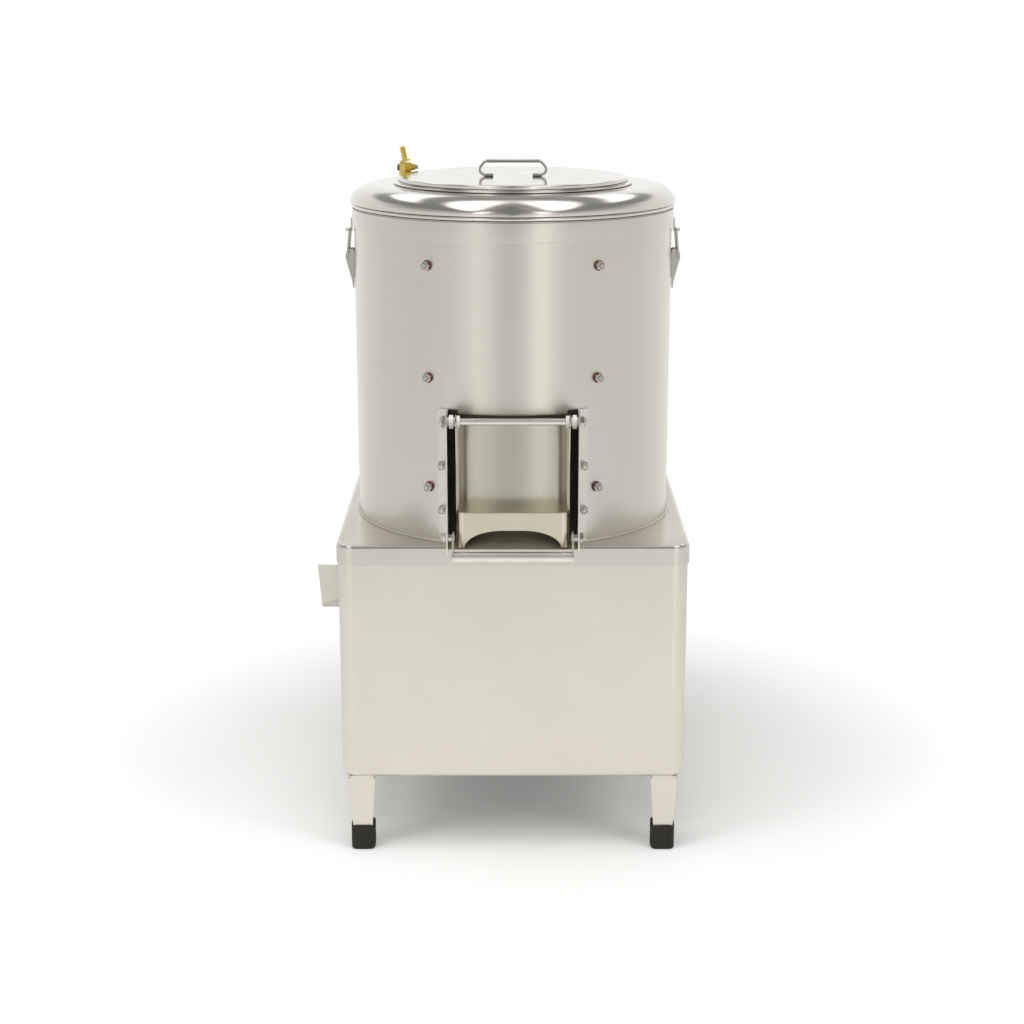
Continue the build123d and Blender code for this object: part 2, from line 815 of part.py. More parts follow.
def make_latch_lever():
    """The lever: a folded channel, open towards the drum, with an eye for the wire."""
    body = xz_plate(lever_outline(), latch_width / 2)
    px, pz = latch_pivot_x, latch_pivot_z
    cavity_foot = pz - latch_plate_low - 2.0
    cavity = [
        (px - 8, pz + 8), (px + 1.0, pz + 8), (px + 2.6, pz + 1.5), (px + 4.7, pz - 3.6),
        (px + 4.8, pz - 7.8), (px - 2.2, cavity_foot), (px - 8, cavity_foot),
    ]
    body -= xz_plate(cavity, latch_width / 2 - latch_sheet)
    body -= rod_y_axis(latch_pin_r + running_gap, -20, 20, px, pz)
    return body - rod_y_axis(latch_wire_r + running_gap, -20, 20, latch_crank_x, latch_crank_z)


def make_latch_loop():
    """The wire loop from the lever's eye up to the strike's hook."""
    side = latch_width / 2 + latch_wire_r + 0.6
    inner = latch_width / 2 - latch_sheet
    bend = latch_wire_r * 1.6
    low_x, low_z = latch_crank_x, latch_crank_z
    points = [
        (low_x, -inner, low_z), (low_x, -side, low_z), (latch_bar_x, -side, latch_bar_z),
        (latch_bar_x, side, latch_bar_z), (low_x, side, low_z), (low_x, inner, low_z),
    ]
    path = FilletPolyline(*points, radius=bend)
    start = Plane(origin=points[0], z_dir=(0, -1, 0))
    return sweep(start * Circle(latch_wire_r), path=path)


# ---- Water inlet --------------------------------------------------------------------
def make_inlet_nipple():
    """The threaded nipple through the dome, with a lock nut above and below."""
    tube = rod(nipple_r, dome_top - 14, dome_top + inlet_nut_t + 2, inlet_x, inlet_y)
    upper = Pos(inlet_x, inlet_y, dome_top + 0.1) * hexagon(valve_flats - 1, inlet_nut_t)
    lower = Pos(inlet_x, inlet_y, dome_top - cover_sheet - 4.6) * hexagon(valve_flats - 2, 3)
    nipple = tube + upper + lower
    return nipple - rod(nipple_bore_r, dome_top - 20, dome_top + 20, inlet_x, inlet_y)


def valve_low():
    """Underside of the valve's body."""
    return dome_top + 0.1 + inlet_nut_t


def make_valve_body():
    """The brass stop valve: hexagon body and the spindle's boss."""
    low = valve_low()
    body = Pos(inlet_x, inlet_y, low) * Rot(0, 0, 30) * hexagon(valve_flats, valve_height)
    body = chamfer(body.faces().sort_by(Axis.Z)[-1].edges(), 0.8)
    mid = low + valve_height * 0.55
    boss = Pos(inlet_x + valve_boss_reach / 2, inlet_y, mid) * Rot(0, 90, 0)
    body += boss * Cone(valve_boss_r, valve_boss_r - 1.2, valve_boss_reach)
    tip = inlet_x + valve_boss_reach
    body -= rod_x(spindle_r + running_gap, tip - 7, tip + 1, inlet_y, mid)
    body -= rod(nipple_r + fit_gap, low - 1, low + 3, inlet_x, inlet_y)
    return body - rod(nipple_bore_r, low, low + valve_height + 1, inlet_x, inlet_y)


def make_valve_spindle():
    """The slotted steel spindle that opens and shuts the water."""
    tip = inlet_x + valve_boss_reach
    mid = valve_low() + valve_height * 0.55
    spindle = rod_x(spindle_r, tip - 6.5, tip + 3.4, inlet_y, mid)
    slot = block(tip + 2.2, tip + 4, inlet_y - 0.5, inlet_y + 0.5, mid - 4, mid + 4)
    return spindle - slot


def make_valve_cap():
    """The black plug on the valve's blind side."""
    face = inlet_x - valve_flats / 2
    mid = valve_low() + valve_height * 0.5
    return rod_x(valve_flats * 0.27, face - 2.6, face, inlet_y, mid)


def make_hose_tail():
    """The barbed hose tail, leaning outwards."""
    base = valve_low() + valve_height
    length = hose_tail_length
    tail = rod(hose_tail_r, 1.0, length)
    collar = hexagon(valve_flats * 0.72, 2.4)
    pitch = (length - 5) / 4
    tail += collar
    for step in range(4):
        z = 4.0 + step * pitch
        barb = Pos(0, 0, z + pitch * 0.4) * Cone(hose_barb_r, hose_tail_r, pitch * 0.8)
        tail += barb
    tail -= rod(nipple_bore_r * 0.8, -2, length + 1)
    tail = Rot(0, -hose_tail_lean, 0) * tail
    tail = Pos(inlet_x, inlet_y, base + 1.2) * tail
    floor = block(-20, 20, -20, 20, -20, 0)
    return tail - Pos(inlet_x, inlet_y, base) * floor


# ---- Discharge outlet ---------------------------------------------------------------
def make_cheek(side):
    """A side plate of the outlet, with a curved flange bolted to the drum."""
    top = base_top + cheek_top
    front = cheek_front_y
    base_gap = 1.5
    points = [
        (-drum_radius * 0.85, top), (front + 9, top), (front, top - 9), (front, base_top + 8),
        (front + 6, base_top - 2), (base_front_y - 3, base_top - 2),
        (base_front_y - 3, base_top + base_gap), (-drum_radius * 0.85, base_top + base_gap),
    ]
    cheek = side_plate(points, outlet_half, outlet_half + cheek_sheet)
    flange = ring(flange_outer_r, drum_radius, base_top + 6, top)
    edge = outlet_half + cheek_flange
    flange &= block(outlet_half, edge, -flange_outer_r - 1, 0, base_top, top + 1)
    cheek = cheek + flange - rod(flange_inner_r, base_top - 5, top + 5)
    cheek -= rod_x(rod_radius + fit_gap, 0, edge, rod_y, rod_z)
    cheek -= rod_x(m6_radius + fit_gap, 0, edge, bail_y, bail_z)
    for angle, z in stud_stations():
        if angle > 0:
            hole = rod_x(m6_radius + fit_gap, drum_radius - 5, drum_radius + 10, 0, 0)
            cheek -= around(hole, angle, z)
    return cheek if side > 0 else mirror(cheek, about=Plane.YZ)


def stud_stations():
    """Angle and height of every flange stud."""
    return [(side * stud_angle, base_top + row) for side in (-1, 1) for row in stud_rows]


def make_flange_studs():
    """Weld studs on the drum's outside that carry the outlet's flanges."""
    stud = rod_x(m6_radius, drum_radius - 1, flange_outer_r + 4, 0, 0)
    stud -= rod(drum_radius, -10, 10)
    return [around(stud, angle, z) for angle, z in stud_stations()]


def make_dome_nuts():
    """Dome nuts of the hinge rod, the bail's bolts and the flange studs."""
    nuts = []
    for y, z in ((rod_y, rod_z), (bail_y, bail_z)):
        radius = rod_radius if z == rod_z else m6_radius
        flats = m6_flats * (1.25 if z == rod_z else 1.0)
        face = outlet_half + cheek_sheet
        nut = rod_x(flats * 0.44, face, face + dome_nut_h, y, z)
        nut += Pos(face, y, z) * Rot(0, 90, 0) * hexagon(flats, dome_nut_h * 0.62)
        nut -= rod_x(radius + 0.02, face - 1, face + 5, y, z)
        nuts += both_sides(nut)
    face = flange_outer_r + seat_film
    nut = rod_x(m6_flats * 0.44, face, face + dome_nut_h, 0, 0)
    nut += Pos(face, 0, 0) * Rot(0, 90, 0) * hexagon(m6_flats, dome_nut_h * 0.62)
    nut -= rod_x(m6_radius + 0.02, face - 1, face + 5, 0, 0)
    nuts += [around(nut, angle, z) for angle, z in stud_stations()]
    return nuts


def make_outlet_gasket():
    """The black rubber frame that the door closes on, with a limb down each cheek."""
    low = chute_z + seat_gap
    high = base_top + outlet_high + gasket_rise
    half = outlet_half - seat_gap
    gasket = drum_shape(gasket_outer_r, gasket_inner_r, half, low, high)
    gasket -= block(
        -opening_half + 1, opening_half - 1, -gasket_outer_r - 5, 0,
        base_top + outlet_low + 1, base_top + outlet_high - 1,
    )
    foot = base_top + limb_foot
    head = base_top + cheek_top - limb_top_gap
    limbs = drum_shape(gasket_outer_r, gasket_inner_r, half, foot, head)
    return gasket + (limbs - block(-door_half, door_half, -gasket_outer_r - 5, 0, foot, head))


def make_chute():
    """The chute's floor: a shelf at the drum and a steep slide, whose lip meets the cheeks."""
    back = -drum_radius * 0.8
    t = chute_sheet
    slope = hypot(chute_shelf_y - chute_lip_y, chute_z - chute_lip_z)
    nx = (chute_z - chute_lip_z) / slope * t
    nz = (chute_shelf_y - chute_lip_y) / slope * t
    points = [
        (back, chute_z), (chute_shelf_y, chute_z), (chute_lip_y, chute_lip_z),
        (chute_lip_y + nx, chute_lip_z - nz), (chute_shelf_y + nx, chute_z - t), (back, chute_z - t),
    ]
    half = outlet_half - 0.1
    chute = side_plate(points, -half, half) - rod(drum_radius + 0.15, base_top, drum_top)
    narrow = door_half - chute_side_gap
    for x0, x1 in ((-half - 1, -narrow), (narrow, half + 1)):
        chute -= block(x0, x1, back * 2, back, chute_lip_z + chute_tab, chute_z + 1)
    return chute


def make_hinge_rod():
    """The rod across the cheeks that the door hangs on."""
    end = outlet_half + cheek_sheet + 4.5
    return rod_x(rod_radius, -end, end, rod_y, rod_z)


def make_outer_bushes():
    """White spacers between the cheeks and the door's ears, stepped down at both ends."""
    low = door_half + seat_gap
    high = outlet_half - 0.1
    bush = rod_x(bush_core_r, low, high, rod_y, rod_z)
    bush += rod_x(outer_bush_r, low + bush_step, high - bush_step, rod_y, rod_z)
    bush -= rod_x(rod_radius + running_gap, low - 1, high + 1, rod_y, rod_z)
    return both_sides(bush)


def make_inner_bushes():
    """White bushes pressed in the door's ears, which turn on the rod."""
    high = door_half - door_sheet
    low = high - inner_bush_w
    bush = rod_x(inner_bush_r, low, high, rod_y, rod_z)
    bush -= rod_x(rod_radius + running_gap, low - 1, high + 1, rod_y, rod_z)
    return both_sides(bush)


def make_door_panel():
    """The curved door and its two side webs, returned in front, with ears round the rod."""
    low = base_top + door_low
    high = base_top + door_high
    door = drum_shape(door_outer_r, door_inner_r, door_half, low, high)
    back = -drum_radius * 0.85
    front = rod_y + 7
    points = [(back, low), (front - 2, low), (front, low + 4), (front, high), (back, high)]
    web = side_plate(points, door_half - door_sheet, door_half)
    web += rod_x(ear_radius, door_half - door_sheet, door_half, rod_y, rod_z)
    bridge = [(rod_y, rod_z + ear_radius), (front, high), (front, low + 60), (rod_y - 5, rod_z - 6)]
    web += side_plate(bridge, door_half - door_sheet, door_half)
    web += block(
        door_half - web_return, door_half, front, front + door_sheet,
        hood_top_z + seat_gap, rod_z - inner_bush_r - seat_gap,
    )
    web -= rod(door_inner_r, low - 1, high + 20)
    web -= rod_x(rod_radius + running_gap, 0, 100, rod_y, rod_z)
    for piece in both_sides(web):
        door += piece
    return door


def make_door_hood():
    """The door's handle: a hood over the chute, with an arch for the hand."""
    t = door_sheet
    back = -drum_radius + 10
    outer = block(-hood_half, hood_half, hood_front_y, back, hood_low_z, hood_top_z)
    front_edges = outer.edges().filter_by(Axis.Z).sort_by(Axis.Y)[:2]
    outer = fillet(front_edges, hood_side_r)
    inner = block(
        -hood_half + t, hood_half - t, hood_front_y + t, back + 1, hood_low_z - 1, hood_top_z - t
    )
    front_edges = inner.edges().filter_by(Axis.Z).sort_by(Axis.Y)[:2]
    inner = fillet(front_edges, hood_side_r - t)
    top_edges = outer.faces().sort_by(Axis.Z)[-1].edges().sort_by(Axis.Y)[:1]
    outer = fillet(top_edges, 1.2)
    hood = outer - inner
    arch = Pos(0, hood_low_z) * Rectangle(2 * arch_flat_half, 2 * arch_rise)
    for side in (-1, 1):
        centre = Pos(side * arch_flat_half, hood_low_z)
        arch += centre * Ellipse(arch_half - arch_flat_half, arch_rise)
    opening = extrude(Plane.XZ * arch, hood_reach + 10)
    hood -= Pos(0, -drum_radius - 5, 0) * opening
    slide = [
        (back, chute_z + 3.5), (chute_shelf_y, chute_z + 3.5), (chute_lip_y - 1.5, hood_low_z),
        (chute_lip_y - 1.5, hood_low_z - 10), (back, hood_low_z - 10),
    ]
    hood -= side_plate([(y + (2 if y == back else 0), z) for y, z in slide], -100, 100)
    return hood - rod(door_outer_r, base_top, drum_top)


def bail_bar_y():
    """Y of the bail's bar at rest."""
    return bail_y - bail_swing_out


def bail_bar_z():
    """Z of the bail's bar at rest."""
    return bail_z - bail_swing_down


def make_bail_arms():
    """The two links between the pivots and the bar."""
    length = hypot(bail_swing_out, bail_swing_down)
    link = SlotCenterToCenter(length, 2 * bail_arm_r)
    tilt = degrees(atan2(-bail_swing_down, -bail_swing_out))
    middle = Pos((bail_y + bail_bar_y()) / 2, (bail_z + bail_bar_z()) / 2)
    face = middle * Rot(0, 0, tilt) * link
    arm = Pos(bail_half, 0, 0) * extrude(Plane.YZ * face, bail_arm_t)
    arm -= rod_x(m6_radius + running_gap, 0, 100, bail_y, bail_z)
    return both_sides(arm)


def make_bail_tube():
    """The bail's bar, a tube between the arms."""
    tube = rod_x(bail_tube_r, -bail_half, bail_half, bail_bar_y(), bail_bar_z())
    inner = bail_tube_r - bail_tube_wall
    return tube - rod_x(inner, -bail_half - 1, bail_half + 1, bail_bar_y(), bail_bar_z())


def make_bail_bolts():
    """Pivot bolts of the bail, with a flat head inside and a spacer to the cheek."""
    outer_face = bail_half + bail_arm_t
    head = rod_x(m6_head_r - 1, bail_half - 1.0, bail_half - 0.1, bail_y, bail_z)
    shank = rod_x(m6_radius, bail_half - 0.5, outlet_half + cheek_sheet + 4.5, bail_y, bail_z)
    spacer = rod_x(m6_head_r - 1, outer_face + 0.1, outlet_half - 0.1, bail_y, bail_z)
    return both_sides(head + shank + spacer)


# ---- Drive --------------------------------------------------------------------------
def make_disc():
    """The abrasive disc: a flat plate with radial waves, a hub and two peel sweepers."""
    top = disc_z + disc_sheet
    disc = rod(disc_radius, disc_z, top)
    waves = None
    for step in range(wave_count):
        axis = Rot(0, 0, step * 360 / wave_count)
        centre_z = top + wave_rise - wave_radius
        wave = axis * Pos(disc_radius / 2, 0, centre_z) * Rot(0, 90, 0)
        wave = wave * Cylinder(wave_radius, disc_radius)
        waves = wave if waves is None else waves + wave
    envelope = rod(disc_radius, disc_z + 1, top + wave_rise)
    disc += waves & (envelope - rod(wave_inner, disc_z, top + wave_rise + 1))
    disc += rod(hub_radius, neck_top + 2, disc_z + 1)
    for side in (0, 180):
        blade = block(housing_flange_r, disc_radius - 6, -3, 3, floor_top + 4, disc_z + 1)
        disc += Rot(0, 0, side + 30) * blade
    return disc - rod(shaft_radius + 0.02, base_top, top + 30)


def make_disc_nut():
    """The domed nut that holds the disc on its shaft."""
    top = disc_z + disc_sheet
    cap = rod(wave_inner * 0.5, top, top + 9)
    cap = fillet(cap.edges().sort_by(Axis.Z)[-1], 7)
    return cap - rod(shaft_radius * 0.8 + 0.02, top - 1, top + 5)


def make_main_shaft():
    """The vertical shaft, stepped at the top for the disc's nut."""
    top = disc_z + disc_sheet
    shaft = rod(shaft_radius, shaft_low, top)
    shaft += rod(shaft_radius * 0.8, top - 1, top + 5)
    return chamfer(shaft.edges().sort_by(Axis.Z)[0], 1)


def make_bearing_housing():
    """The cast housing under the deck, with a neck that stands up through the floor."""
    body = rod(housing_radius, housing_low, housing_top)
    body += rod(housing_flange_r, housing_top - housing_flange_t, housing_top)
    body += rod(neck_radius, housing_top - 5, neck_top)
    for step in range(4):
        tip = housing_flange_r - 8
        low = housing_top - 5 - housing_rib_h
        profile = [(0, low), (housing_radius, low), (tip, housing_top - 5), (0, housing_top - 5)]
        body += Rot(0, 0, 90 * step) * xz_plate(profile, 4)
    body -= rod(shaft_radius + 1.0, housing_low - 1, neck_top + 1)
    body -= rod(bearing_radius + 0.02, housing_low - 1, housing_low + bearing_width)
    body -= rod(bearing_radius - 4, housing_low, housing_top - bearing_width - 10)
    body -= rod(bearing_radius + 0.02, housing_top - bearing_width - 10, housing_top - 10)
    for x, y in housing_bolt_places():
        body -= rod(m8_radius + fit_gap, housing_low, housing_top + 1, x, y)
    return body


def make_bearings():
    """Upper and lower ball bearings, each a closed ring."""
    inner = shaft_radius + running_gap
    upper = housing_top - 10
    lower = housing_low + bearing_width
    return [
        ring(bearing_radius, inner, z - bearing_width, z) for z in (upper, lower)
    ]


def pulley(radius, bore, x, y):
    """A V-grooved pulley at the belt's level."""
    low, high = pulley_level, pulley_level + pulley_width
    mid = (low + high) / 2
    foot = groove_foot_half
    mouth = foot + groove_flare
    wheel = rod(radius, low, high)
    groove = revolve_section(
        [
            (radius + 1, mid - mouth), (radius + 1, mid + mouth), (radius - groove_depth, mid + foot),
            (radius - groove_depth, mid - foot),
        ]
    )
    wheel = wheel - groove - rod(bore + 0.02, low - 20, high + 20)
    return Pos(x, y, 0) * wheel


def make_main_pulley():
    """The large driven pulley, with lightening holes."""
    wheel = pulley(pulley_radius, shaft_radius, 0, 0)
    hub_top = pulley_level + pulley_width + 12
    wheel += ring(24, shaft_radius + 0.02, pulley_level + pulley_width, hub_top)
    for step in range(5):
        angle = radians(72 * step + 18)
        middle = (pulley_radius - groove_depth + 24) / 2
        x, y = middle * cos(angle), middle * sin(angle)
        wheel -= rod(19, pulley_level - 1, pulley_level + pulley_width + 1, x, y)
    return wheel


def make_drive_belt():
    """The V-belt round both pulleys."""
    mid = pulley_level + pulley_width / 2
    outline = []
    for inset in (belt_inset, belt_inset + belt_height):
        big = Circle(pulley_radius - inset)
        small = Pos(0, motor_offset) * Circle(motor_pulley_radius - inset)
        outline.append(make_hull((big + small).edges()))
    loop = outline[0] - outline[1]
    return extrude(Pos(0, 0, mid - belt_half) * loop, 2 * belt_half)


def make_motor():
    """The flange motor: finned body, fan cowl and terminal box."""
    low = motor_plate_level + motor_plate_t
    top = low + motor_flange_t + motor_height
    motor = rod(motor_flange_r, low, low + motor_flange_t)
    motor += rod(motor_radius - motor_fin_depth, low, top)
    fin_low = low + motor_flange_t + 8
    for step in range(motor_fins):
        fin = block(0, motor_radius, -1.2, 1.2, fin_low, top - motor_cowl_h - 2)
        motor += Rot(0, 0, step * 360 / motor_fins) * fin
    cowl = rod(motor_radius + 2, top - motor_cowl_h, top)
    motor += fillet(cowl.edges().sort_by(Axis.Z)[-1], 8)
    half, height, reach = terminal_box
    box_low = low + terminal_box_low
    motor += block(
        -motor_radius - reach, -motor_radius + motor_fin_depth + 2, -half, half,
        box_low, box_low + height,
    )
    motor -= rod(motor_shaft_r + running_gap, low - 1, low + motor_shaft_in + 1)
    motor = Pos(0, motor_offset, 0) * motor
    for x, y in motor_bolt_places():
        motor -= rod(m8_radius + fit_gap, low - 1, low + motor_flange_t + 1, x, y)
    return motor


def make_motor_shaft():
    """The motor's shaft, down through the plate to its pulley."""
    high = motor_plate_level + motor_plate_t + motor_shaft_in
    return rod(motor_shaft_r, pulley_level - 4, high, 0, motor_offset)


def make_motor_plate():
    """The plate across the cabinet that carries the motor, flanged at both ends."""
    half = shell_inner_half
    y0 = motor_offset - motor_plate_depth / 2
    y1 = motor_offset + motor_plate_depth / 2
    level = motor_plate_level
    plate = block(-half, half, y0, y1, level, level + motor_plate_t)
    for side in (-1, 1):
        x0, x1 = sorted((side * half, side * (half - motor_plate_t)))
        plate += block(x0, x1, y0, y1, level - motor_plate_flange, level + 1)
    plate -= rod(motor_spigot_r, level - 1, level + motor_plate_t + 1, 0, motor_offset)
    for x, y in motor_bolt_places():
        plate -= rod(m8_radius + fit_gap, level - 1, level + motor_plate_t + 1, x, y)
    return plate


# ---- Controls -----------------------------------------------------------------------
def make_timer_knob():
    """The fluted knob, cut away on two sides to a wedge-shaped grip."""
    knob = rod(knob_radius, 0, knob_length)
    for step in range(knob_flutes):
        angle = radians(360 * step / knob_flutes)
        reach = knob_radius + 0.9
        knob -= rod(1.9, -1, knob_length + 1, reach * cos(angle), reach * sin(angle))
    for side in (-1, 1):
        points = [
            (side * knob_grip_low, 2.0), (side * knob_grip_high, knob_length + 0.5),
            (side * 40, knob_length + 0.5), (side * 40, 2.0),
        ]
        cut = Polyline(*[(0, y, z) for y, z in points], close=True)
        knob -= extrude(make_face(cut), 60, both=True)
    face = [(-knob_radius - 1, knob_length - knob_slant), (knob_radius + 1, knob_length)]
    face += [(knob_radius + 1, knob_length + 5), (-knob_radius - 1, knob_length + 5)]
    slant = Polyline(*[(x, 0, z) for x, z in face], close=True)
    knob -= extrude(make_face(slant), 40, both=True)
    knob -= rod(timer_shaft_r + 0.02, -1, 12)
    turned = Rot(0, 0, knob_turn) * knob
    return Pos(-(wall_x + knob_gap), knob_y, knob_z) * Rot(0, -90, 0) * turned


def make_timer_shaft():
    """The timer's shaft, from the timer to the knob."""
    inner = shell_inner_half - 3
    return rod_x(timer_shaft_r, -(wall_x + knob_gap + 11), -inner, knob_y, knob_z)


def make_timer_body():
    """The timer's case behind the cabinet's wall, with its bush and nut plate."""
    half = timer_size / 2
    x1 = -shell_inner_half
    x0 = x1 + timer_depth
    case = block(x1, x0, knob_y - half, knob_y + half, knob_z - half, knob_z + half)
    case = fillet(case.edges().filter_by(Axis.X), 5)
    return case - rod_x(timer_shaft_r + running_gap, x1 - 1, x1 + 5, knob_y, knob_z)


# ---- Export -------------------------------------------------------------------------
def all_nodes():
    """Every node's name with its solids."""
    nodes = {
        "base_top": make_base_top(), "base_shell": make_base_shell(),
        "rear_panel": make_rear_panel(), "rear_panel_screws": make_panel_screws(),
        "cable_gland": make_cable_gland(), "frame_bolts": make_frame_bolts(),
        "drum_shell": make_drum_shell(), "drum_floor": make_drum_floor(),
        "drain_spigot": make_drain_spigot(), "lining_left": make_lining_panel(-1),
        "lining_right": make_lining_panel(1), "lining_bolts": make_lining_bolts(),
        "lining_washers": make_lining_washers(), "lining_nuts": make_lining_nuts(),
        "cover": make_cover(), "cover_seal": make_cover_seal(), "lid": make_lid(),
        "lid_handle": make_lid_handle(),
        "latch_strikes": both_sides(make_latch_strike()),
        "latch_bases": both_sides(make_latch_base()),
        "latch_pins": both_sides(make_latch_pin()),
        "inlet_nipple": make_inlet_nipple(), "valve_body": make_valve_body(),
        "valve_spindle": make_valve_spindle(), "valve_cap": make_valve_cap(),
        "hose_tail": make_hose_tail(),
        "cheek_left": make_cheek(-1), "cheek_right": make_cheek(1),
        "outlet_gasket": make_outlet_gasket(), "chute": make_chute(),
        "flange_studs": make_flange_studs(), "dome_nuts": make_dome_nuts(),
        "hinge_rod": make_hinge_rod(), "outer_bushes": make_outer_bushes(),
        "inner_bushes": make_inner_bushes(), "door_panel": make_door_panel(),
        "door_hood": make_door_hood(), "bail_arms": make_bail_arms(),
        "bail_tube": make_bail_tube(), "bail_bolts": make_bail_bolts(),
        "abrasive_disc": make_disc(), "disc_nut": make_disc_nut(),
        "main_shaft": make_main_shaft(), "bearing_housing": make_bearing_housing(),
        "bearings": make_bearings(), "main_pulley": make_main_pulley(),
        "drive_belt": make_drive_belt(),
        "motor_pulley": pulley(motor_pulley_radius, motor_shaft_r, 0, motor_offset),
        "motor": make_motor(), "motor_shaft": make_motor_shaft(),
        "motor_plate": make_motor_plate(), "timer_knob": make_timer_knob(),
        "timer_shaft": make_timer_shaft(), "timer_body": make_timer_body(),
    }
    levers = both_sides(make_latch_lever())
    loops = both_sides(make_latch_loop())
    for index, name in enumerate(("right", "left")):
        nodes[f"latch_lever_{name}"] = levers[index]
        nodes[f"latch_loop_{name}"] = loops[index]
    legs = [make_leg(x, y) for x, y in leg_places()]
    feet = [make_foot(x, y) for x, y in leg_places()]
    nodes["legs"] = legs
    nodes["feet"] = feet
    return nodes


def solids_of(shape):
    """Every solid of a shape or of a list of shapes."""
    shapes = shape if isinstance(shape, list) else [shape]
    return [solid for item in shapes for solid in item.solids()]


def main():
    """Move every node to the row's frame and write one STEP file for each."""
    os.makedirs("parts", exist_ok=True)
    to_frame = Pos(-centre_x, -centre_y, 0)
    for name, shape in all_nodes().items():
        solids = [to_frame * solid for solid in solids_of(shape)]
        node = solids[0] if len(solids) == 1 else Compound(children=solids)
        export_step(node, f"parts/{name}.step")


main()
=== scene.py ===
"""Looks of an electric potato peeler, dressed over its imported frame.

The drum's axis is the origin of every drawing in this file, with the floor at zero, the door
towards -Y and sizes in millimetres. ``place`` turns such a point into the row frame.
"""
from __future__ import annotations

import json
import logging
import math
from dataclasses import dataclass
from enum import Enum
from typing import Callable, Mapping, Sequence

import bmesh
import bpy
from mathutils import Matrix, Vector


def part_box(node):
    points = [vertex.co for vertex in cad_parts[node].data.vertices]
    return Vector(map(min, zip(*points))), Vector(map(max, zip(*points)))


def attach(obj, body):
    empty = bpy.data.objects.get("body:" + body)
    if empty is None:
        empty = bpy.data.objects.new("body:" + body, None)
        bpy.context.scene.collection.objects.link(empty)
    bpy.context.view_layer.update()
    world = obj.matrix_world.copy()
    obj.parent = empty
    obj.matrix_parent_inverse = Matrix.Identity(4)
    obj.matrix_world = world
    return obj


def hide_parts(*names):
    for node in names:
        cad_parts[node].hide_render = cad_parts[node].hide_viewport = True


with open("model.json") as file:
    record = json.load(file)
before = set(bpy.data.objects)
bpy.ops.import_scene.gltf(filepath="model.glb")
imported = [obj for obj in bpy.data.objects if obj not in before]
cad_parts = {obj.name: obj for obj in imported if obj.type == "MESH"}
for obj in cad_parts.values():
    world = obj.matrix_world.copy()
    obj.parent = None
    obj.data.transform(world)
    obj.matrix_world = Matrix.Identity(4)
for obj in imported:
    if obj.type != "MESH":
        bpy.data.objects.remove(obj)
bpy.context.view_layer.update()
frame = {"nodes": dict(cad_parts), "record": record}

LOG = logging.getLogger("potato_peeler")
MM = 0.001
DRUM_RADIUS = 195.0
LID_TOP = 809.5
FASTENER_SEED = 7
FASTENER_SPIN = 1.05  # a sixth of a turn, in radians, past which a hexagon looks the same
FASTENER_SHARP = 26.0

Point2 = tuple[float, float]
Point3 = tuple[float, float, float]
Colour = tuple[float, float, float]
Spot = tuple[Point3, Point3]  # a place, and the direction straight out there
Angled = Callable[[float], float]  # a size that changes with the angle round the axis
Socket = bpy.types.NodeSocket
FIRST_COLOUR, SECOND_COLOUR, MIXED_COLOUR = 6, 7, 2  # a Mix node's sockets for colours


def drum_axis() -> Vector:
    """Find the drum's axis on the floor, in metres in the row frame."""
    low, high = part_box("drum_floor")
    return Vector(((low.x + high.x) / 2, (low.y + high.y) / 2, 0.0))


AXIS = drum_axis()


def place(point: Sequence[float]) -> Vector:
    """Turn a drawing's point into metres in the row frame."""
    return AXIS + Vector(point) * MM


def bench(point: Sequence[float]) -> Vector:
    """Turn a template's point into metres, without moving it."""
    return Vector(point) * MM


def around(radius: float, angle: float, height: float) -> Spot:
    """Find a spot on the drum's round, by its angle from the door in degrees."""
    out = (math.sin(math.radians(angle)), -math.cos(math.radians(angle)), 0.0)
    return (radius * out[0], radius * out[1], height), out


# ---- Node sheets ------------------------------------------------------------------------
class Ease(Enum):
    """The way a span runs from its low end to its high end."""

    EVEN = "LINEAR"
    SOFT = "SMOOTHSTEP"


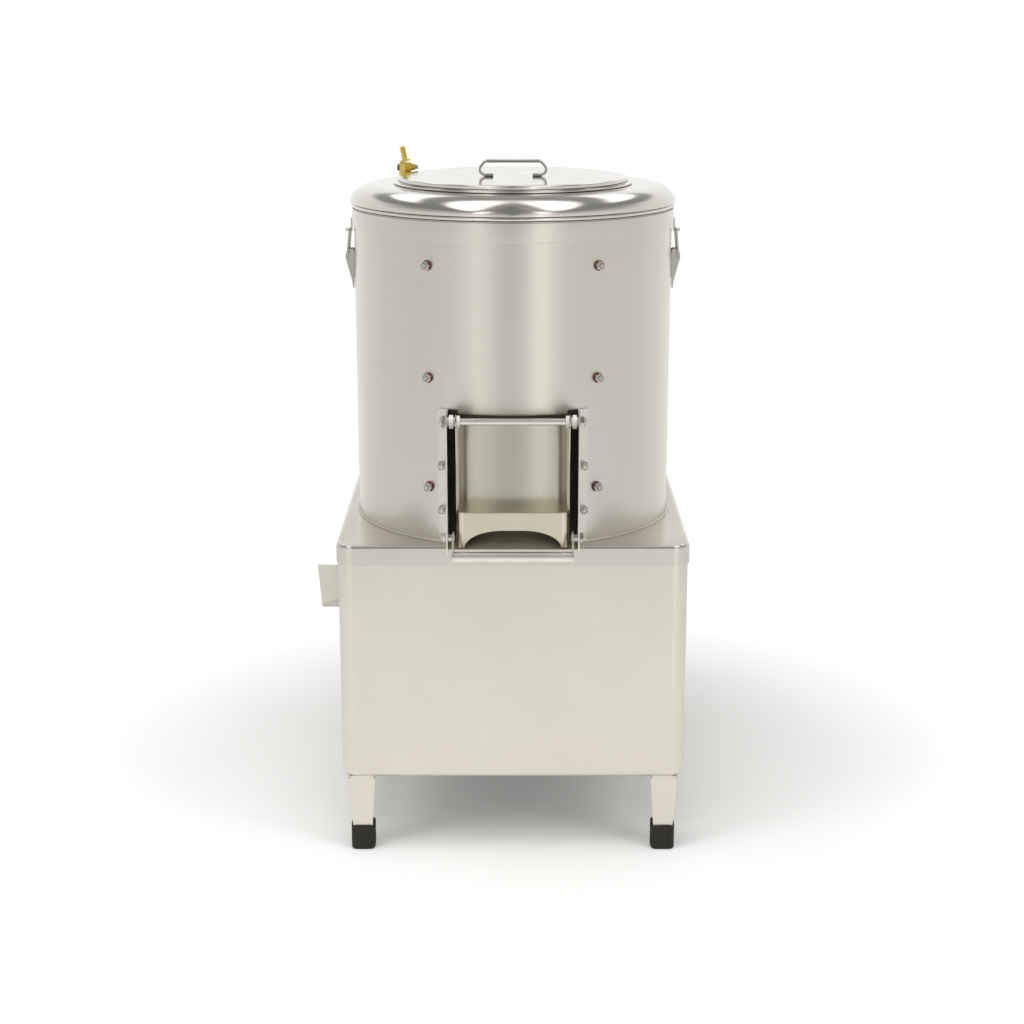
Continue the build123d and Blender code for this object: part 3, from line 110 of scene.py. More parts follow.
class Sheet:
    """A node tree, with short ways to add and join nodes."""

    def __init__(self, tree: bpy.types.NodeTree) -> None:
        """Start on an emptied tree."""
        self.tree = tree
        self.tree.nodes.clear()

    def feed(self, value: object, target: Socket) -> None:
        """Give a socket its input.

        Args:
            value: A socket, a node whose first output is meant, or a plain value.
            target: The socket that takes it.
        """
        if isinstance(value, bpy.types.Node):
            value = value.outputs[0]
        if isinstance(value, Socket):
            self.tree.links.new(value, target)
        elif target.type == "RGBA":
            target.default_value = (*value, 1.0)
        else:
            target.default_value = value

    def add(
        self, kind: str, feeds: Mapping[str | int, object] | None = None, **settings: object
    ) -> bpy.types.Node:
        """Add a node.

        Args:
            kind: The node's type, such as ShaderNodeMath.
            feeds: What its inputs take, by their name or number.
            **settings: Properties set on the node.

        Returns:
            The node.
        """
        node = self.tree.nodes.new(kind)
        for key, value in settings.items():
            setattr(node, key, value)
        for key, value in (feeds or {}).items():
            self.feed(value, node.inputs[key])
        return node

    def math(self, operation: str, first: object, second: object = 0.0) -> Socket:
        """Work out two numbers."""
        return self.add("ShaderNodeMath", {0: first, 1: second}, operation=operation).outputs[0]

    def vector_math(self, operation: str, first: object, second: object = (0, 0, 0)) -> Socket:
        """Work out two vectors."""
        node = self.add("ShaderNodeVectorMath", {0: first, 1: second}, operation=operation)
        return node.outputs["Value" if operation in ("DOT_PRODUCT", "LENGTH") else "Vector"]

    def times(self, first: object, second: object) -> Socket:
        """Multiply two numbers."""
        return self.math("MULTIPLY", first, second)

    def plus(self, first: object, second: object) -> Socket:
        """Add two numbers."""
        return self.math("ADD", first, second)

    def length(self, vector: object) -> Socket:
        """Measure a vector."""
        return self.vector_math("LENGTH", vector)

    def vector(self, x: object, y: object, z: object) -> Socket:
        """Combine three numbers into a vector."""
        return self.add("ShaderNodeCombineXYZ", {0: x, 1: y, 2: z}).outputs[0]

    def split(self, vector: object) -> Sequence[Socket]:
        """Part a vector into its X, Y and Z."""
        return self.add("ShaderNodeSeparateXYZ", {0: vector}).outputs

    def noise(self, at: object, scale: float, detail: float = 2.0, kept: float = 0.5) -> Socket:
        """Make a noise of so many cycles per unit, octaves, and share kept by each octave."""
        feeds = {"Vector": at, "Scale": scale, "Detail": detail, "Roughness": kept}
        return self.add("ShaderNodeTexNoise", feeds).outputs[0]

    def span(
        self, source: object, start: float, end: float, low: float, high: float,
        ease: Ease = Ease.EVEN,
    ) -> Socket:
        """Map the values from start to end to those from low to high."""
        feeds = {"Value": source, "From Min": start, "From Max": end, "To Min": low, "To Max": high}
        return self.add("ShaderNodeMapRange", feeds, interpolation_type=ease.value).outputs[0]

    def swing(self, source: object, low: float, high: float) -> Socket:
        """Map a noise's middle range to a low and a high value."""
        return self.span(source, 0.3, 0.7, low, high)

    def blend(self, share: object, first: object, second: object) -> Socket:
        """Mix two colours, by the second one's share."""
        feeds = {0: share, FIRST_COLOUR: first, SECOND_COLOUR: second}
        return self.add("ShaderNodeMix", feeds, data_type="RGBA").outputs[MIXED_COLOUR]

    def ramp(self, source: object, stops: Sequence[Point2]) -> Socket:
        """Add a colour ramp of greys.

        Args:
            source: The factor.
            stops: Pairs of a place, from 0 to 1, and a brightness.

        Returns:
            The brightness.
        """
        node = self.add("ShaderNodeValToRGB", {0: source})
        points = node.color_ramp.elements
        for spot, _ in stops[1:-1]:
            points.new(spot)
        for point, (_, level) in zip(points, stops):
            point.color = (level, level, level, 1.0)
        return node.outputs[0]

    def views(self) -> tuple[Socket, Socket]:
        """Tell the rays that see a thing, straight or through glass, and those that mirror it."""
        path = self.add("ShaderNodeLightPath").outputs
        return (
            self.math("MAXIMUM", path["Is Camera Ray"], path["Is Transmission Ray"]),
            path["Is Glossy Ray"],
        )


# ---- Finishes ---------------------------------------------------------------------------
class Grain(Enum):
    """The way a surface was worked."""

    AROUND = "brushed round the drum's axis"
    LEVEL = "brushed level, along X and Y"
    UPRIGHT = "brushed up and down"
    RINGS = "turned, with rings round the drum's axis"
    CLOUD = "moulded or painted"
    CAST = "cast"
    GRIT = "coated with grit"


@dataclass(frozen=True)
class Finish:
    """A procedural finish, with sizes in millimetres."""

    name: str  # the record's material slot, where it has one
    light: Colour  # of the clean surface
    dark: Colour  # of its streaks and stains
    metallic: float
    roughness: float  # the mean
    swing: float  # how far the roughness varies each way
    grain: Grain
    fine: float  # size of the finest marks
    depth: float  # of the marks
    stain: float  # share of the dark colour in the broad stains
    anisotropic: float = 0.0  # stretch of the gloss across the marks
    coat: float = 0.0  # weight of a clear coat
    wave: float = 0.0  # height of the sheet's broad waves
    edge: float = 0.35  # radius of its rounded edges
    worn: Colour | None = None  # of the edges, if they are rubbed


class Paint(Sheet):
    """The material of one finish."""

    STRETCH = 60.0  # a brushed mark's length over its width
    COAT_GLOSS = 0.12
    STREAK = 0.13  # coarse streaks, in cycles per fine mark
    WAVES, CLOUDS, SMEARS = 5.5, 7.0, 31.0  # cycles per metre
    RUBBED = (0.97, 0.80)  # how far the rounded and the flat normal agree where rubbing starts, ends

    def __init__(self, finish: Finish) -> None:
        """Build the material, named after the finish.

        Args:
            finish: The finish.
        """
        self.finish = finish
        self.material = bpy.data.materials.new(finish.name)
        self.material.use_nodes = True
        super().__init__(self.material.node_tree)
        centred = {
            "Vector": self.add("ShaderNodeTexCoord").outputs["Object"],
            "Location": (-AXIS.x, -AXIS.y, 0.0),
        }
        self.plain = self.add("ShaderNodeMapping", centred).outputs[0]
        self.marks = self.stretched()
        self.height = self.relief()
        self.streaks = self.noise(self.marks, self.STREAK, 3.0)
        self.smears = self.noise(self.plain, self.SMEARS, 3.0, 0.55)
        self.flat = self.add("ShaderNodeNewGeometry").outputs["Normal"]
        self.rounded = self.flat
        if finish.edge:
            bevel = self.add("ShaderNodeBevel", {"Radius": finish.edge * MM}, samples=3)
            self.rounded = bevel.outputs[0]
        shader = self.add("ShaderNodeBsdfPrincipled", {
            "Base Color": self.colour(), "Roughness": self.gloss(), "Metallic": finish.metallic,
            "Anisotropic": finish.anisotropic, "Coat Weight": finish.coat,
            "Coat Roughness": self.COAT_GLOSS, "Normal": self.bumps(),
        })
        if finish.anisotropic:
            self.feed(self.vector(0.0, 0.0, 1.0), shader.inputs["Tangent"])
        self.add("ShaderNodeOutputMaterial", {0: shader})

    def stretched(self) -> Socket:
        """Stretch the plain coordinates along the marks.

        Returns:
            Coordinates in units of the finest mark.
        """
        across = 1.0 / (self.finish.fine * MM)
        along = across / self.STRETCH
        grain = self.finish.grain
        if grain in (Grain.AROUND, Grain.RINGS):
            x, y, z = self.split(self.plain)
            turn = self.times(self.math("ARCTAN2", y, x), DRUM_RADIUS * MM * along)
            radius = self.length(self.vector(x, y, 0.0))
            # rings count on flat faces; on the rolled wall only the height does
            rings = self.times(radius, across if grain is Grain.RINGS else 0.0)
            return self.vector(turn, rings, self.times(z, across))
        scales = {
            Grain.LEVEL: (along, along * 4, across),
            Grain.UPRIGHT: (across, across, along),
        }
        return self.vector_math("MULTIPLY", self.plain, scales.get(grain, (across,) * 3))

    def relief(self) -> Socket:
        """Make the fine marks' height.

        Returns:
            The height, about 0 to 1.
        """
        if self.finish.grain is Grain.GRIT:
            cells = self.add("ShaderNodeTexVoronoi", {"Vector": self.marks, "Scale": 1.0})
            return self.math("SUBTRACT", 1.0, cells.outputs["Distance"])
        return self.noise(self.marks, 1.0, 5.0 if self.finish.grain is Grain.CAST else 2.0, 0.6)

    def colour(self) -> Socket:
        """Lay stains and streaks over the clean colour, and rub the edges.

        Returns:
            The colour.
        """
        stain, dark = self.finish.stain, self.finish.dark
        clouds = self.noise(self.plain, self.CLOUDS, 4.0, 0.6)
        colour = self.blend(self.swing(clouds, 0.0, stain), self.finish.light, dark)
        colour = self.blend(self.swing(self.streaks, 0.0, stain * 0.5), colour, dark)
        if self.finish.grain is Grain.GRIT:
            colour = self.blend(self.swing(self.height, 0.9, 0.0), colour, dark)
        if self.finish.worn:
            agree = self.vector_math("DOT_PRODUCT", self.rounded, self.flat)
            edge = self.span(agree, *self.RUBBED, 0.0, 1.0)
            mask = self.times(edge, self.swing(self.smears, 0.25, 1.0))
            colour = self.blend(mask, colour, self.finish.worn)
        return colour

    def gloss(self) -> Socket:
        """Vary the roughness with the smears, and a little with the streaks."""
        mean, swing = self.finish.roughness, self.finish.swing
        return self.plus(
            self.swing(self.smears, mean - swing, mean + swing),
            self.swing(self.streaks, -swing * 0.4, swing * 0.4),
        )

    def bumps(self) -> Socket:
        """Lay the sheet's waves and the fine marks over the rounded edges.

        Returns:
            The normal.
        """
        layers = [(self.height, self.finish.depth, 0.6)]
        if self.finish.wave:
            layers.insert(0, (self.noise(self.plain, self.WAVES, 1.0), self.finish.wave, 1.0))
        normal = self.rounded
        for height, depth, strength in layers:
            normal = self.add("ShaderNodeBump", {
                "Strength": strength, "Distance": depth * MM, "Height": height, "Normal": normal,
            }).outputs[0]
        return normal


STEEL = (0.74, 0.705, 0.625)
STEEL_DARK = (0.64, 0.60, 0.51)
BRIGHT = (0.78, 0.77, 0.74)
SOOT = (0.035, 0.034, 0.034)
FINISHES = (
    Finish("drum_steel", STEEL, STEEL_DARK, 1.0, 0.29, 0.01, Grain.AROUND, 0.35, 0.001, 0.2,
           anisotropic=0.6, wave=0.04, edge=0.0),
    Finish("cabinet_steel", (0.79, 0.755, 0.67), STEEL_DARK, 1.0, 0.33, 0.02, Grain.LEVEL, 0.4,
           0.0015, 0.2, anisotropic=0.4, wave=0.08),
    Finish("deck_steel", (0.715, 0.685, 0.61), STEEL_DARK, 1.0, 0.245, 0.015, Grain.LEVEL,
           0.4, 0.0015, 0.2, anisotropic=0.3, wave=0.05),
    # the door's darker tone is partly a duller steel and partly painted shade from the cheeks beside it
    Finish("door_steel", (0.58, 0.555, 0.465), (0.48, 0.45, 0.36), 1.0, 0.24, 0.015,
           Grain.UPRIGHT, 0.4, 0.002, 0.4, wave=0.08),
    Finish("hood_steel", (0.76, 0.715, 0.575), (0.66, 0.61, 0.46), 1.0, 0.25, 0.01, Grain.LEVEL,
           0.4, 0.002, 0.35, wave=0.05),
    # the chute's dark, heavily stained colour is painted shade: it lies in shade behind the door's arch
    Finish("chute_steel", (0.37, 0.345, 0.26), (0.27, 0.245, 0.17), 1.0, 0.42, 0.08,
           Grain.UPRIGHT, 0.5, 0.008, 0.7),
    Finish("weld_metal", (0.84, 0.81, 0.73), (0.58, 0.53, 0.43), 1.0, 0.36, 0.06, Grain.CLOUD,
           0.6, 0.03, 0.4),
    Finish("polished_steel", (0.78, 0.755, 0.70), (0.70, 0.67, 0.60), 1.0, 0.12, 0.03,
           Grain.RINGS, 0.5, 0.0004, 0.15),
    Finish("handle_steel", (0.50, 0.48, 0.42), (0.34, 0.32, 0.26), 1.0, 0.20, 0.04, Grain.CLOUD,
           0.5, 0.002, 0.5, edge=0.5),
    Finish("rod_steel", (0.86, 0.83, 0.75), (0.74, 0.70, 0.60), 1.0, 0.34, 0.03, Grain.CLOUD,
           0.5, 0.003, 0.4),
    # a dark finish that paints the shade in the seams of the cover and the lid: painted shade, not
    # grime
    Finish("seam_grime", (0.21, 0.195, 0.15), (0.12, 0.11, 0.08), 0.8, 0.5, 0.06, Grain.CLOUD,
           0.5, 0.003, 0.5),
    Finish("bright_fastener", (0.66, 0.645, 0.60), (0.34, 0.33, 0.29), 1.0, 0.18, 0.045,
           Grain.CLOUD, 0.5, 0.006, 0.5, worn=BRIGHT),
    Finish("brass", (0.88, 0.66, 0.15), (0.62, 0.43, 0.07), 1.0, 0.19, 0.05, Grain.CLOUD, 0.9,
           0.004, 0.35, worn=(0.97, 0.84, 0.40)),
    Finish("black_rubber", (0.012, 0.010, 0.006), (0.026, 0.023, 0.016), 0.0, 0.8, 0.09,
           Grain.CLOUD, 0.5, 0.03, 0.8, edge=0.6),
    Finish("red_fibre", (0.22, 0.045, 0.035), (0.11, 0.03, 0.02), 0.0, 0.7, 0.08, Grain.CLOUD,
           0.4, 0.05, 0.8),
    Finish("white_nylon", (0.74, 0.74, 0.71), (0.62, 0.60, 0.54), 0.0, 0.42, 0.06, Grain.CLOUD,
           0.5, 0.01, 0.4),
    Finish("black_plastic", (0.025, 0.025, 0.027), (0.05, 0.05, 0.05), 0.0, 0.35, 0.08,
           Grain.CLOUD, 0.4, 0.02, 0.6, coat=0.2),
    Finish("silver_plastic", (0.72, 0.70, 0.62), (0.60, 0.58, 0.49), 0.35, 0.36, 0.05,
           Grain.CLOUD, 0.5, 0.003, 0.3, coat=0.2, worn=BRIGHT),
    Finish("abrasive_lining", (0.12, 0.115, 0.11), SOOT, 0.0, 0.8, 0.1, Grain.GRIT, 1.8, 0.9, 0.7),
    Finish("abrasive_disc", (0.13, 0.125, 0.12), SOOT, 0.0, 0.78, 0.1, Grain.GRIT, 1.8, 0.9, 0.7),
    Finish("cast_iron", (0.11, 0.125, 0.14), (0.05, 0.055, 0.06), 0.2, 0.5, 0.1, Grain.CAST,
           1.6, 0.25, 0.7, edge=0.8, worn=(0.22, 0.22, 0.22)),
    Finish("motor_paint", (0.075, 0.105, 0.14), (0.045, 0.06, 0.08), 0.0, 0.38, 0.08,
           Grain.CAST, 1.1, 0.09, 0.6, coat=0.3, edge=0.8, worn=(0.20, 0.21, 0.22)),
    Finish("cast_aluminium", (0.60, 0.61, 0.62), (0.40, 0.41, 0.42), 1.0, 0.36, 0.08,
           Grain.RINGS, 0.6, 0.02, 0.5),
    Finish("belt_rubber", (0.03, 0.03, 0.031), (0.07, 0.068, 0.065), 0.0, 0.62, 0.1,
           Grain.CLOUD, 0.6, 0.08, 0.8),
    Finish("ground_steel", (0.62, 0.62, 0.62), (0.45, 0.45, 0.45), 1.0, 0.2, 0.05, Grain.RINGS,
           0.4, 0.004, 0.4),
)
OWN_FINISH = {
    "door_panel": "door_steel", "door_hood": "hood_steel", "chute": "chute_steel",
    "base_top": "deck_steel", "hinge_rod": "rod_steel", "bail_tube": "rod_steel",
}


# ---- Mesh making ------------------------------------------------------------------------
def arc(centre: Point2, radii: Point2, start: float, end: float, steps: int) -> list[Point2]:
    """List points along an elliptical arc between two angles in degrees, both ends included."""
    turns = [math.radians(start + (end - start) * i / steps) for i in range(steps + 1)]
    return [(centre[0] + radii[0] * math.cos(t), centre[1] + radii[1] * math.sin(t)) for t in turns]


def make_piece(
    name: str, vertices: Sequence[Vector], faces: Sequence[Sequence[int]], sharp: float = 32.0
) -> bpy.types.Object:
    """Make a smooth-shaded object from points in metres.

    Args:
        name: The piece's name.
        vertices: Points in metres.
        faces: Vertex numbers of each face.
        sharp: Edges that turn more than this many degrees stay sharp.

    Returns:
        The object, linked to the scene.
    """
    mesh = bpy.data.meshes.new(name)
    mesh.from_pydata([tuple(v) for v in vertices], [], [tuple(f) for f in faces])
    shell = bmesh.new()
    shell.from_mesh(mesh)
    bmesh.ops.recalc_face_normals(shell, faces=shell.faces)
    shell.to_mesh(mesh)
    shell.free()
    mesh.shade_smooth()
    mesh.set_sharp_from_angle(angle=math.radians(sharp))
    piece = bpy.data.objects.new(name, mesh)
    bpy.context.scene.collection.objects.link(piece)
    return piece


def skin(rows: int, count: int, looped: bool) -> list[list[int]]:
    """List the faces of a tube.

    Args:
        rows: Number of its rings.
        count: Points in each ring.
        looped: Whether the last ring joins the first; the ends are closed otherwise.

    Returns:
        Vertex numbers of each face.
    """
    faces: list[list[int]] = []
    for row in range(rows if looped else rows - 1):
        here, above = row * count, (row + 1) % rows * count
        for step in range(count):
            follow = (step + 1) % count
            faces.append([here + step, here + follow, above + follow, above + step])
    if not looped:
        faces += [list(range(count)), list(range((rows - 1) * count, rows * count))]
    return faces


def turned(
    name: str, rings: Sequence[tuple[float | Angled, float | Angled]], segments: int,
    bored: bool = False, move: Callable[[Point3], Vector] = place, sharp: float = 32.0,
) -> bpy.types.Object:
    """Turn a section round an upright axis, where radius and height may change with the angle.

    Args:
        name: The piece's name.
        rings: Radius and height of each ring, as numbers or functions of the angle.
        segments: Steps round the axis.
        bored: Whether the last ring joins the first; the ends are closed otherwise.
        move: Turns a point in millimetres into metres.
        sharp: Edges that turn more than this many degrees stay sharp.

    Returns:
        The object.
    """
    vertices: list[Vector] = []
    for ring in rings:
        for step in range(segments):
            turn = 2 * math.pi * step / segments
            out, up = (size(turn) if callable(size) else size for size in ring)
            vertices.append(move((out * math.cos(turn), out * math.sin(turn), up)))
    return make_piece(name, vertices, skin(len(rings), segments, bored), sharp)


# ---- Templates of small fasteners, standing on their seats at the origin -----------------
def hexagon(flats: float) -> Angled:
    """Make a hexagon's radius as a function of the angle, by its size across flats."""
    return lambda turn: flats / 2 / math.cos((turn + math.pi / 6) % (math.pi / 3) - math.pi / 6)


def chamfered(flats: float, level: float) -> Angled:
    """Make the height of a turned chamfer on a hexagon, by that at the middle of a flat."""
    fall = 0.58  # per millimetre outwards: a chamfer of 30 degrees
    return lambda turn: level - fall * (hexagon(flats)(turn) - flats / 2)


@dataclass(frozen=True)
class Nut:
    """A hexagon nut, chamfered on its outer face."""

    flats: float = 10.0
    height: float = 5.0
    bore: float = 3.1
    sink: float = 0.35

    def template(self) -> bpy.types.Object:
        """Turn the nut.

        Returns:
            The template.
        """
        side, face, mouth = hexagon(self.flats), self.flats / 2 * 0.93, self.bore + self.sink
        rings = [
            (self.bore, 0.3), (mouth, 0.0), (face, 0.0), (side, 0.2),
            (side, chamfered(self.flats, self.height - 0.25)), (face, self.height),
            (mouth, self.height), (self.bore, self.height - self.sink),
        ]
        return turned("nut_template", rings, 48, True, bench, 24.0)


@dataclass(frozen=True)
class Washer:
    """A washer, pressed slightly barrel-shaped by its nut."""

    outer: float = 6.2
    bore: float = 3.1
    thick: float = 1.5
    bulge: float = 0.4

    def template(self) -> bpy.types.Object:
        """Turn the washer.

        Returns:
            The template.
        """
        rim, middle = self.outer - self.bulge, self.thick / 2
        rings = [(self.bore, 0.0), (rim, 0.0)]
        rings += arc((rim, middle), (self.bulge, middle), -60, 60, 4)
        rings += [(rim, self.thick), (self.bore, self.thick)]
        return turned("washer_template", rings, 32, True, bench)


@dataclass(frozen=True)
class Bolt:
    """A flat-headed bolt that points outwards, with a hexagon socket and a threaded end."""

    shank: float = 3.0
    head: float = 5.6
    head_outside: float = -1.8
    head_height: float = 1.8
    socket_depth: float = 1.3
    grip: float = 11.1
    end: float = 13.0
    pitch: float = 1.0
    thread_depth: float = 0.45

    def template(self) -> bpy.types.Object:
        """Turn the bolt.

        Returns:
            The template.
        """
        socket, outside = hexagon(self.shank * 1.3), self.head_outside
        rings = [
            (socket, outside + self.socket_depth), (socket, outside), (self.head - 0.5, outside),
            (self.head, outside + 0.5), (self.shank, outside + self.head_height),
            (self.shank, self.grip),
        ]
        for crest in range(int((self.end - self.grip) / self.pitch)):
            at = self.grip + crest * self.pitch
            rings += [
                (self.shank - self.thread_depth, at), (self.shank, at + self.pitch * 0.4),
                (self.shank, at + self.pitch * 0.6),
            ]
        rings += [(self.shank - 0.5, self.end), (self.shank * 0.5, self.end + 0.25)]
        return turned("bolt_template", rings, 36, False, bench)


@dataclass(frozen=True)
class DomeNut:
    """A dome nut."""

    flats: float = 10.0
    height: float = 8.0

    def template(self) -> bpy.types.Object:
        """Turn the dome nut.

        Returns:
            The template.
        """
        side, shoulder = hexagon(self.flats), self.height * 0.56
        dome = self.flats * 0.44
        rings = [
            (self.flats * 0.465, 0.0), (side, 0.3), (side, chamfered(self.flats, shoulder - 0.2)),
            (dome, shoulder + 0.15),
        ]
        rings += arc((0.0, shoulder + 0.3), (dome, self.height - shoulder - 0.3), 8, 84, 8)
        return turned("dome_template", rings, 48, False, bench, FASTENER_SHARP)


@dataclass(frozen=True)
class PanHead:
    """A pan-head screw's head with a cross recess."""

    radius: float = 4.5
    height: float = 2.4
    rim: float = 0.4
    recess: float = 1.1

    def cross(self, share: float) -> Angled:
        """Make the recess's radius as a function of the angle, by its share of the head's."""
        return lambda turn: self.radius * share * (0.28 + 0.72 * abs(math.cos(2 * turn)) ** 3)

    def template(self) -> bpy.types.Object:
        """Turn the head.

        Returns:
            The template.
        """
        rings = [(self.radius - 0.1, 0.0), (self.radius, self.rim)]
        rings += arc((0.0, self.rim), (self.radius, self.height - self.rim), 20, 70, 5)
        rings += [(self.cross(0.62), self.height - 0.12), (self.cross(0.42), self.height - self.recess)]
        return turned("screw_template", rings, 48, False, bench)


@dataclass(frozen=True)
class SpotWeld:
    """The raised button of a spot weld."""

    rings: tuple[Point2, ...] = ((2.2, -0.2), (1.9, 0.12), (1.2, 0.22), (0.5, 0.24))

    def template(self) -> bpy.types.Object:
        """Turn the button."""
        return turned("spot_template", self.rings, 20, False, bench, 60.0)


# ---- Growths: what repeats or follows a path --------------------------------------------
class Growth(Sheet):
    """A Geometry Nodes tree that turns a base into a finished piece."""

    def __init__(self, name: str, **sizes: str) -> None:
        """Start the tree.

        Args:
            name: The growth's name.
            **sizes: Named inputs, with the kind of each.
        """
        super().__init__(bpy.data.node_groups.new(name, "GeometryNodeTree"))
        face = self.tree.interface
        face.new_socket(name="Geometry", in_out="OUTPUT", socket_type="NodeSocketGeometry")
        self.keys = {}
        for label, kind in {"Geometry": "Geometry", **sizes, "Finish": "Material"}.items():
            socket = face.new_socket(name=label, in_out="INPUT", socket_type=f"NodeSocket{kind}")
            self.keys[label] = socket.identifier
        self.source = self.add("NodeGroupInput")

    def given(self, label: str) -> Socket:
        """Find a named input's socket inside the tree."""
        return self.source.outputs[label]

    def chance(self, kind: str, low: object, high: object) -> Socket:
        """Draw a value by chance, from the growth's seed.

        Args:
            kind: The value's data type.
            low: Its low end.
            high: Its high end.

        Returns:
            The value.
        """
        node = self.add("FunctionNodeRandomValue", {"Seed": self.given("Seed")}, data_type=kind)
        ends = [s for s in node.inputs if s.enabled and s.name in ("Min", "Max")]
        for value, end in zip((low, high), ends):
            self.feed(value, end)
        return [s for s in node.outputs if s.enabled][0]

    def turn(self, angles: object) -> bpy.types.Node:
        """Make a rotation from three angles."""
        return self.add("FunctionNodeEulerToRotation", {0: angles})

    def close(self, geometry: object) -> Growth:
        """End the tree: real geometry, in its finish.

        Args:
            geometry: The last geometry.

        Returns:
            The growth.
        """
        real = self.add("GeometryNodeRealizeInstances", {0: geometry})
        feeds = {"Geometry": real, "Material": self.given("Finish")}
        self.add("NodeGroupOutput", {0: self.add("GeometryNodeSetMaterial", feeds)})
        return self

    def grow(self, base: bpy.types.Object, **sizes: object) -> bpy.types.Object:
        """Grow a piece on a base and make it a plain mesh.

        Args:
            base: The base; it becomes the piece.
            **sizes: Values of the named inputs.

        Returns:
            The piece.
        """
        modifier = base.modifiers.new(self.tree.name, "NODES")
        modifier.node_group = self.tree
        for label, value in sizes.items():
            modifier[self.keys[label]] = value
        graph = bpy.context.evaluated_depsgraph_get()
        mesh = bpy.data.meshes.new_from_object(base.evaluated_get(graph), depsgraph=graph)
        base.modifiers.clear()
        base.data = mesh
        mesh.name = base.name
        return base


def fastener_growth() -> Growth:
    """Set a template at each spot, turned outwards and by a chance spin.

    Returns:
        The growth.
    """
    growth = Growth("fastener_rows", Template="Object", Spin="Float", Seed="Int")
    outward, size = (
        growth.add("GeometryNodeInputNamedAttribute", {"Name": label}, data_type="FLOAT_VECTOR")
        for label in ("outward", "size")
    )
    template = growth.add("GeometryNodeObjectInfo", {"Object": growth.given("Template")})
    rows = growth.add("GeometryNodeInstanceOnPoints", {
        "Points": growth.add("GeometryNodeMeshToPoints", {"Mesh": growth.given("Geometry")}),
        "Instance": template.outputs["Geometry"],
        "Rotation": growth.add("FunctionNodeAlignRotationToVector", {"Vector": outward}, axis="Z"),
        "Scale": size,
    })
    spin = growth.turn(growth.vector(0.0, 0.0, growth.chance("FLOAT", 0.0, growth.given("Spin"))))
    return growth.close(
        growth.add("GeometryNodeRotateInstances", {"Instances": rows, "Rotation": spin})
    )


def sweep(growth: Growth, path: object, section: int, size: str, **feeds: object) -> bpy.types.Node:
    """Sweep a round section along a curve, with closed ends.

    Args:
        growth: The growth.
        path: The curve.
        section: Points of the section.
        size: The growth's input that gives the section's radius.
        **feeds: What other inputs of the sweep take.

    Returns:
        The sweep's node.
    """
    round_bar = growth.add("GeometryNodeCurvePrimitiveCircle", {
        "Resolution": section, "Radius": growth.given(size),
    })
    return growth.add("GeometryNodeCurveToMesh", {
        "Curve": path, "Profile Curve": round_bar, "Fill Caps": True, **feeds,
    })


def thread_growth() -> Growth:
    """Wind a thread's ridge as an upright helix and set it where it belongs.

    Returns:
        The growth.
    """
    growth = Growth(
        "thread_ridge", Radius="Float", Length="Float", Turns="Float", Ridge="Float", Foot="Vector"
    )
    helix = growth.add("GeometryNodeCurveSpiral", {
        "Resolution": 40, "Rotations": growth.given("Turns"), "Height": growth.given("Length"),
        "Start Radius": growth.given("Radius"), "End Radius": growth.given("Radius"),
    })
    return growth.close(growth.add("GeometryNodeTransform", {
        "Geometry": sweep(growth, helix, 5, "Ridge"), "Translation": growth.given("Foot"),
    }))


def bead_growth() -> Growth:
    """Lay a rippled weld bead along the base's edges.

    Returns:
        The growth.
    """
    growth = Growth("weld_bead", Size="Float")
    path = growth.add("GeometryNodeMeshToCurve", {"Mesh": growth.given("Geometry")})
    count = growth.add("GeometryNodeInputIndex")
    ripple, drift = (
        growth.times(growth.math(wave, growth.times(count, step)), depth)
        for wave, step, depth in (("COSINE", math.pi / 2, 0.12), ("SINE", 0.37, 0.06))
    )
    swell = growth.plus(growth.plus(ripple, drift), 1.0)
    return growth.close(sweep(growth, path, 8, "Size", Scale=swell))


def grit_growth() -> Growth:
    """Scatter grains on the faces that look towards a point.

    Returns:
        The growth.
    """
    growth = Growth(
        "grit", Density="Float", Grain="Float", Towards="Vector", Mask="Vector", Seed="Int"
    )
    here = growth.add("GeometryNodeInputPosition")
    ahead = growth.vector_math("SUBTRACT", growth.given("Towards"), here)
    ahead = growth.vector_math("MULTIPLY", ahead, growth.given("Mask"))
    facing = growth.vector_math(
        "DOT_PRODUCT", growth.add("GeometryNodeInputNormal"), growth.vector_math("NORMALIZE", ahead)
    )
    scatter = growth.add("GeometryNodeDistributePointsOnFaces", {
        "Mesh": growth.given("Geometry"), "Selection": growth.math("GREATER_THAN", facing, 0.5),
        "Density": growth.given("Density"), "Seed": growth.given("Seed"),
    })
    grain = growth.add("GeometryNodeMeshIcoSphere", {"Radius": growth.given("Grain")})
    return growth.close(growth.add("GeometryNodeInstanceOnPoints", {
        "Points": scatter, "Instance": grain,
        "Rotation": growth.turn(growth.chance("FLOAT_VECTOR", (0, 0, 0), (6.2, 6.2, 6.2))),
        "Scale": growth.chance("FLOAT_VECTOR", (0.5, 0.5, 0.3), (1.3, 1.2, 0.9)),
    }))


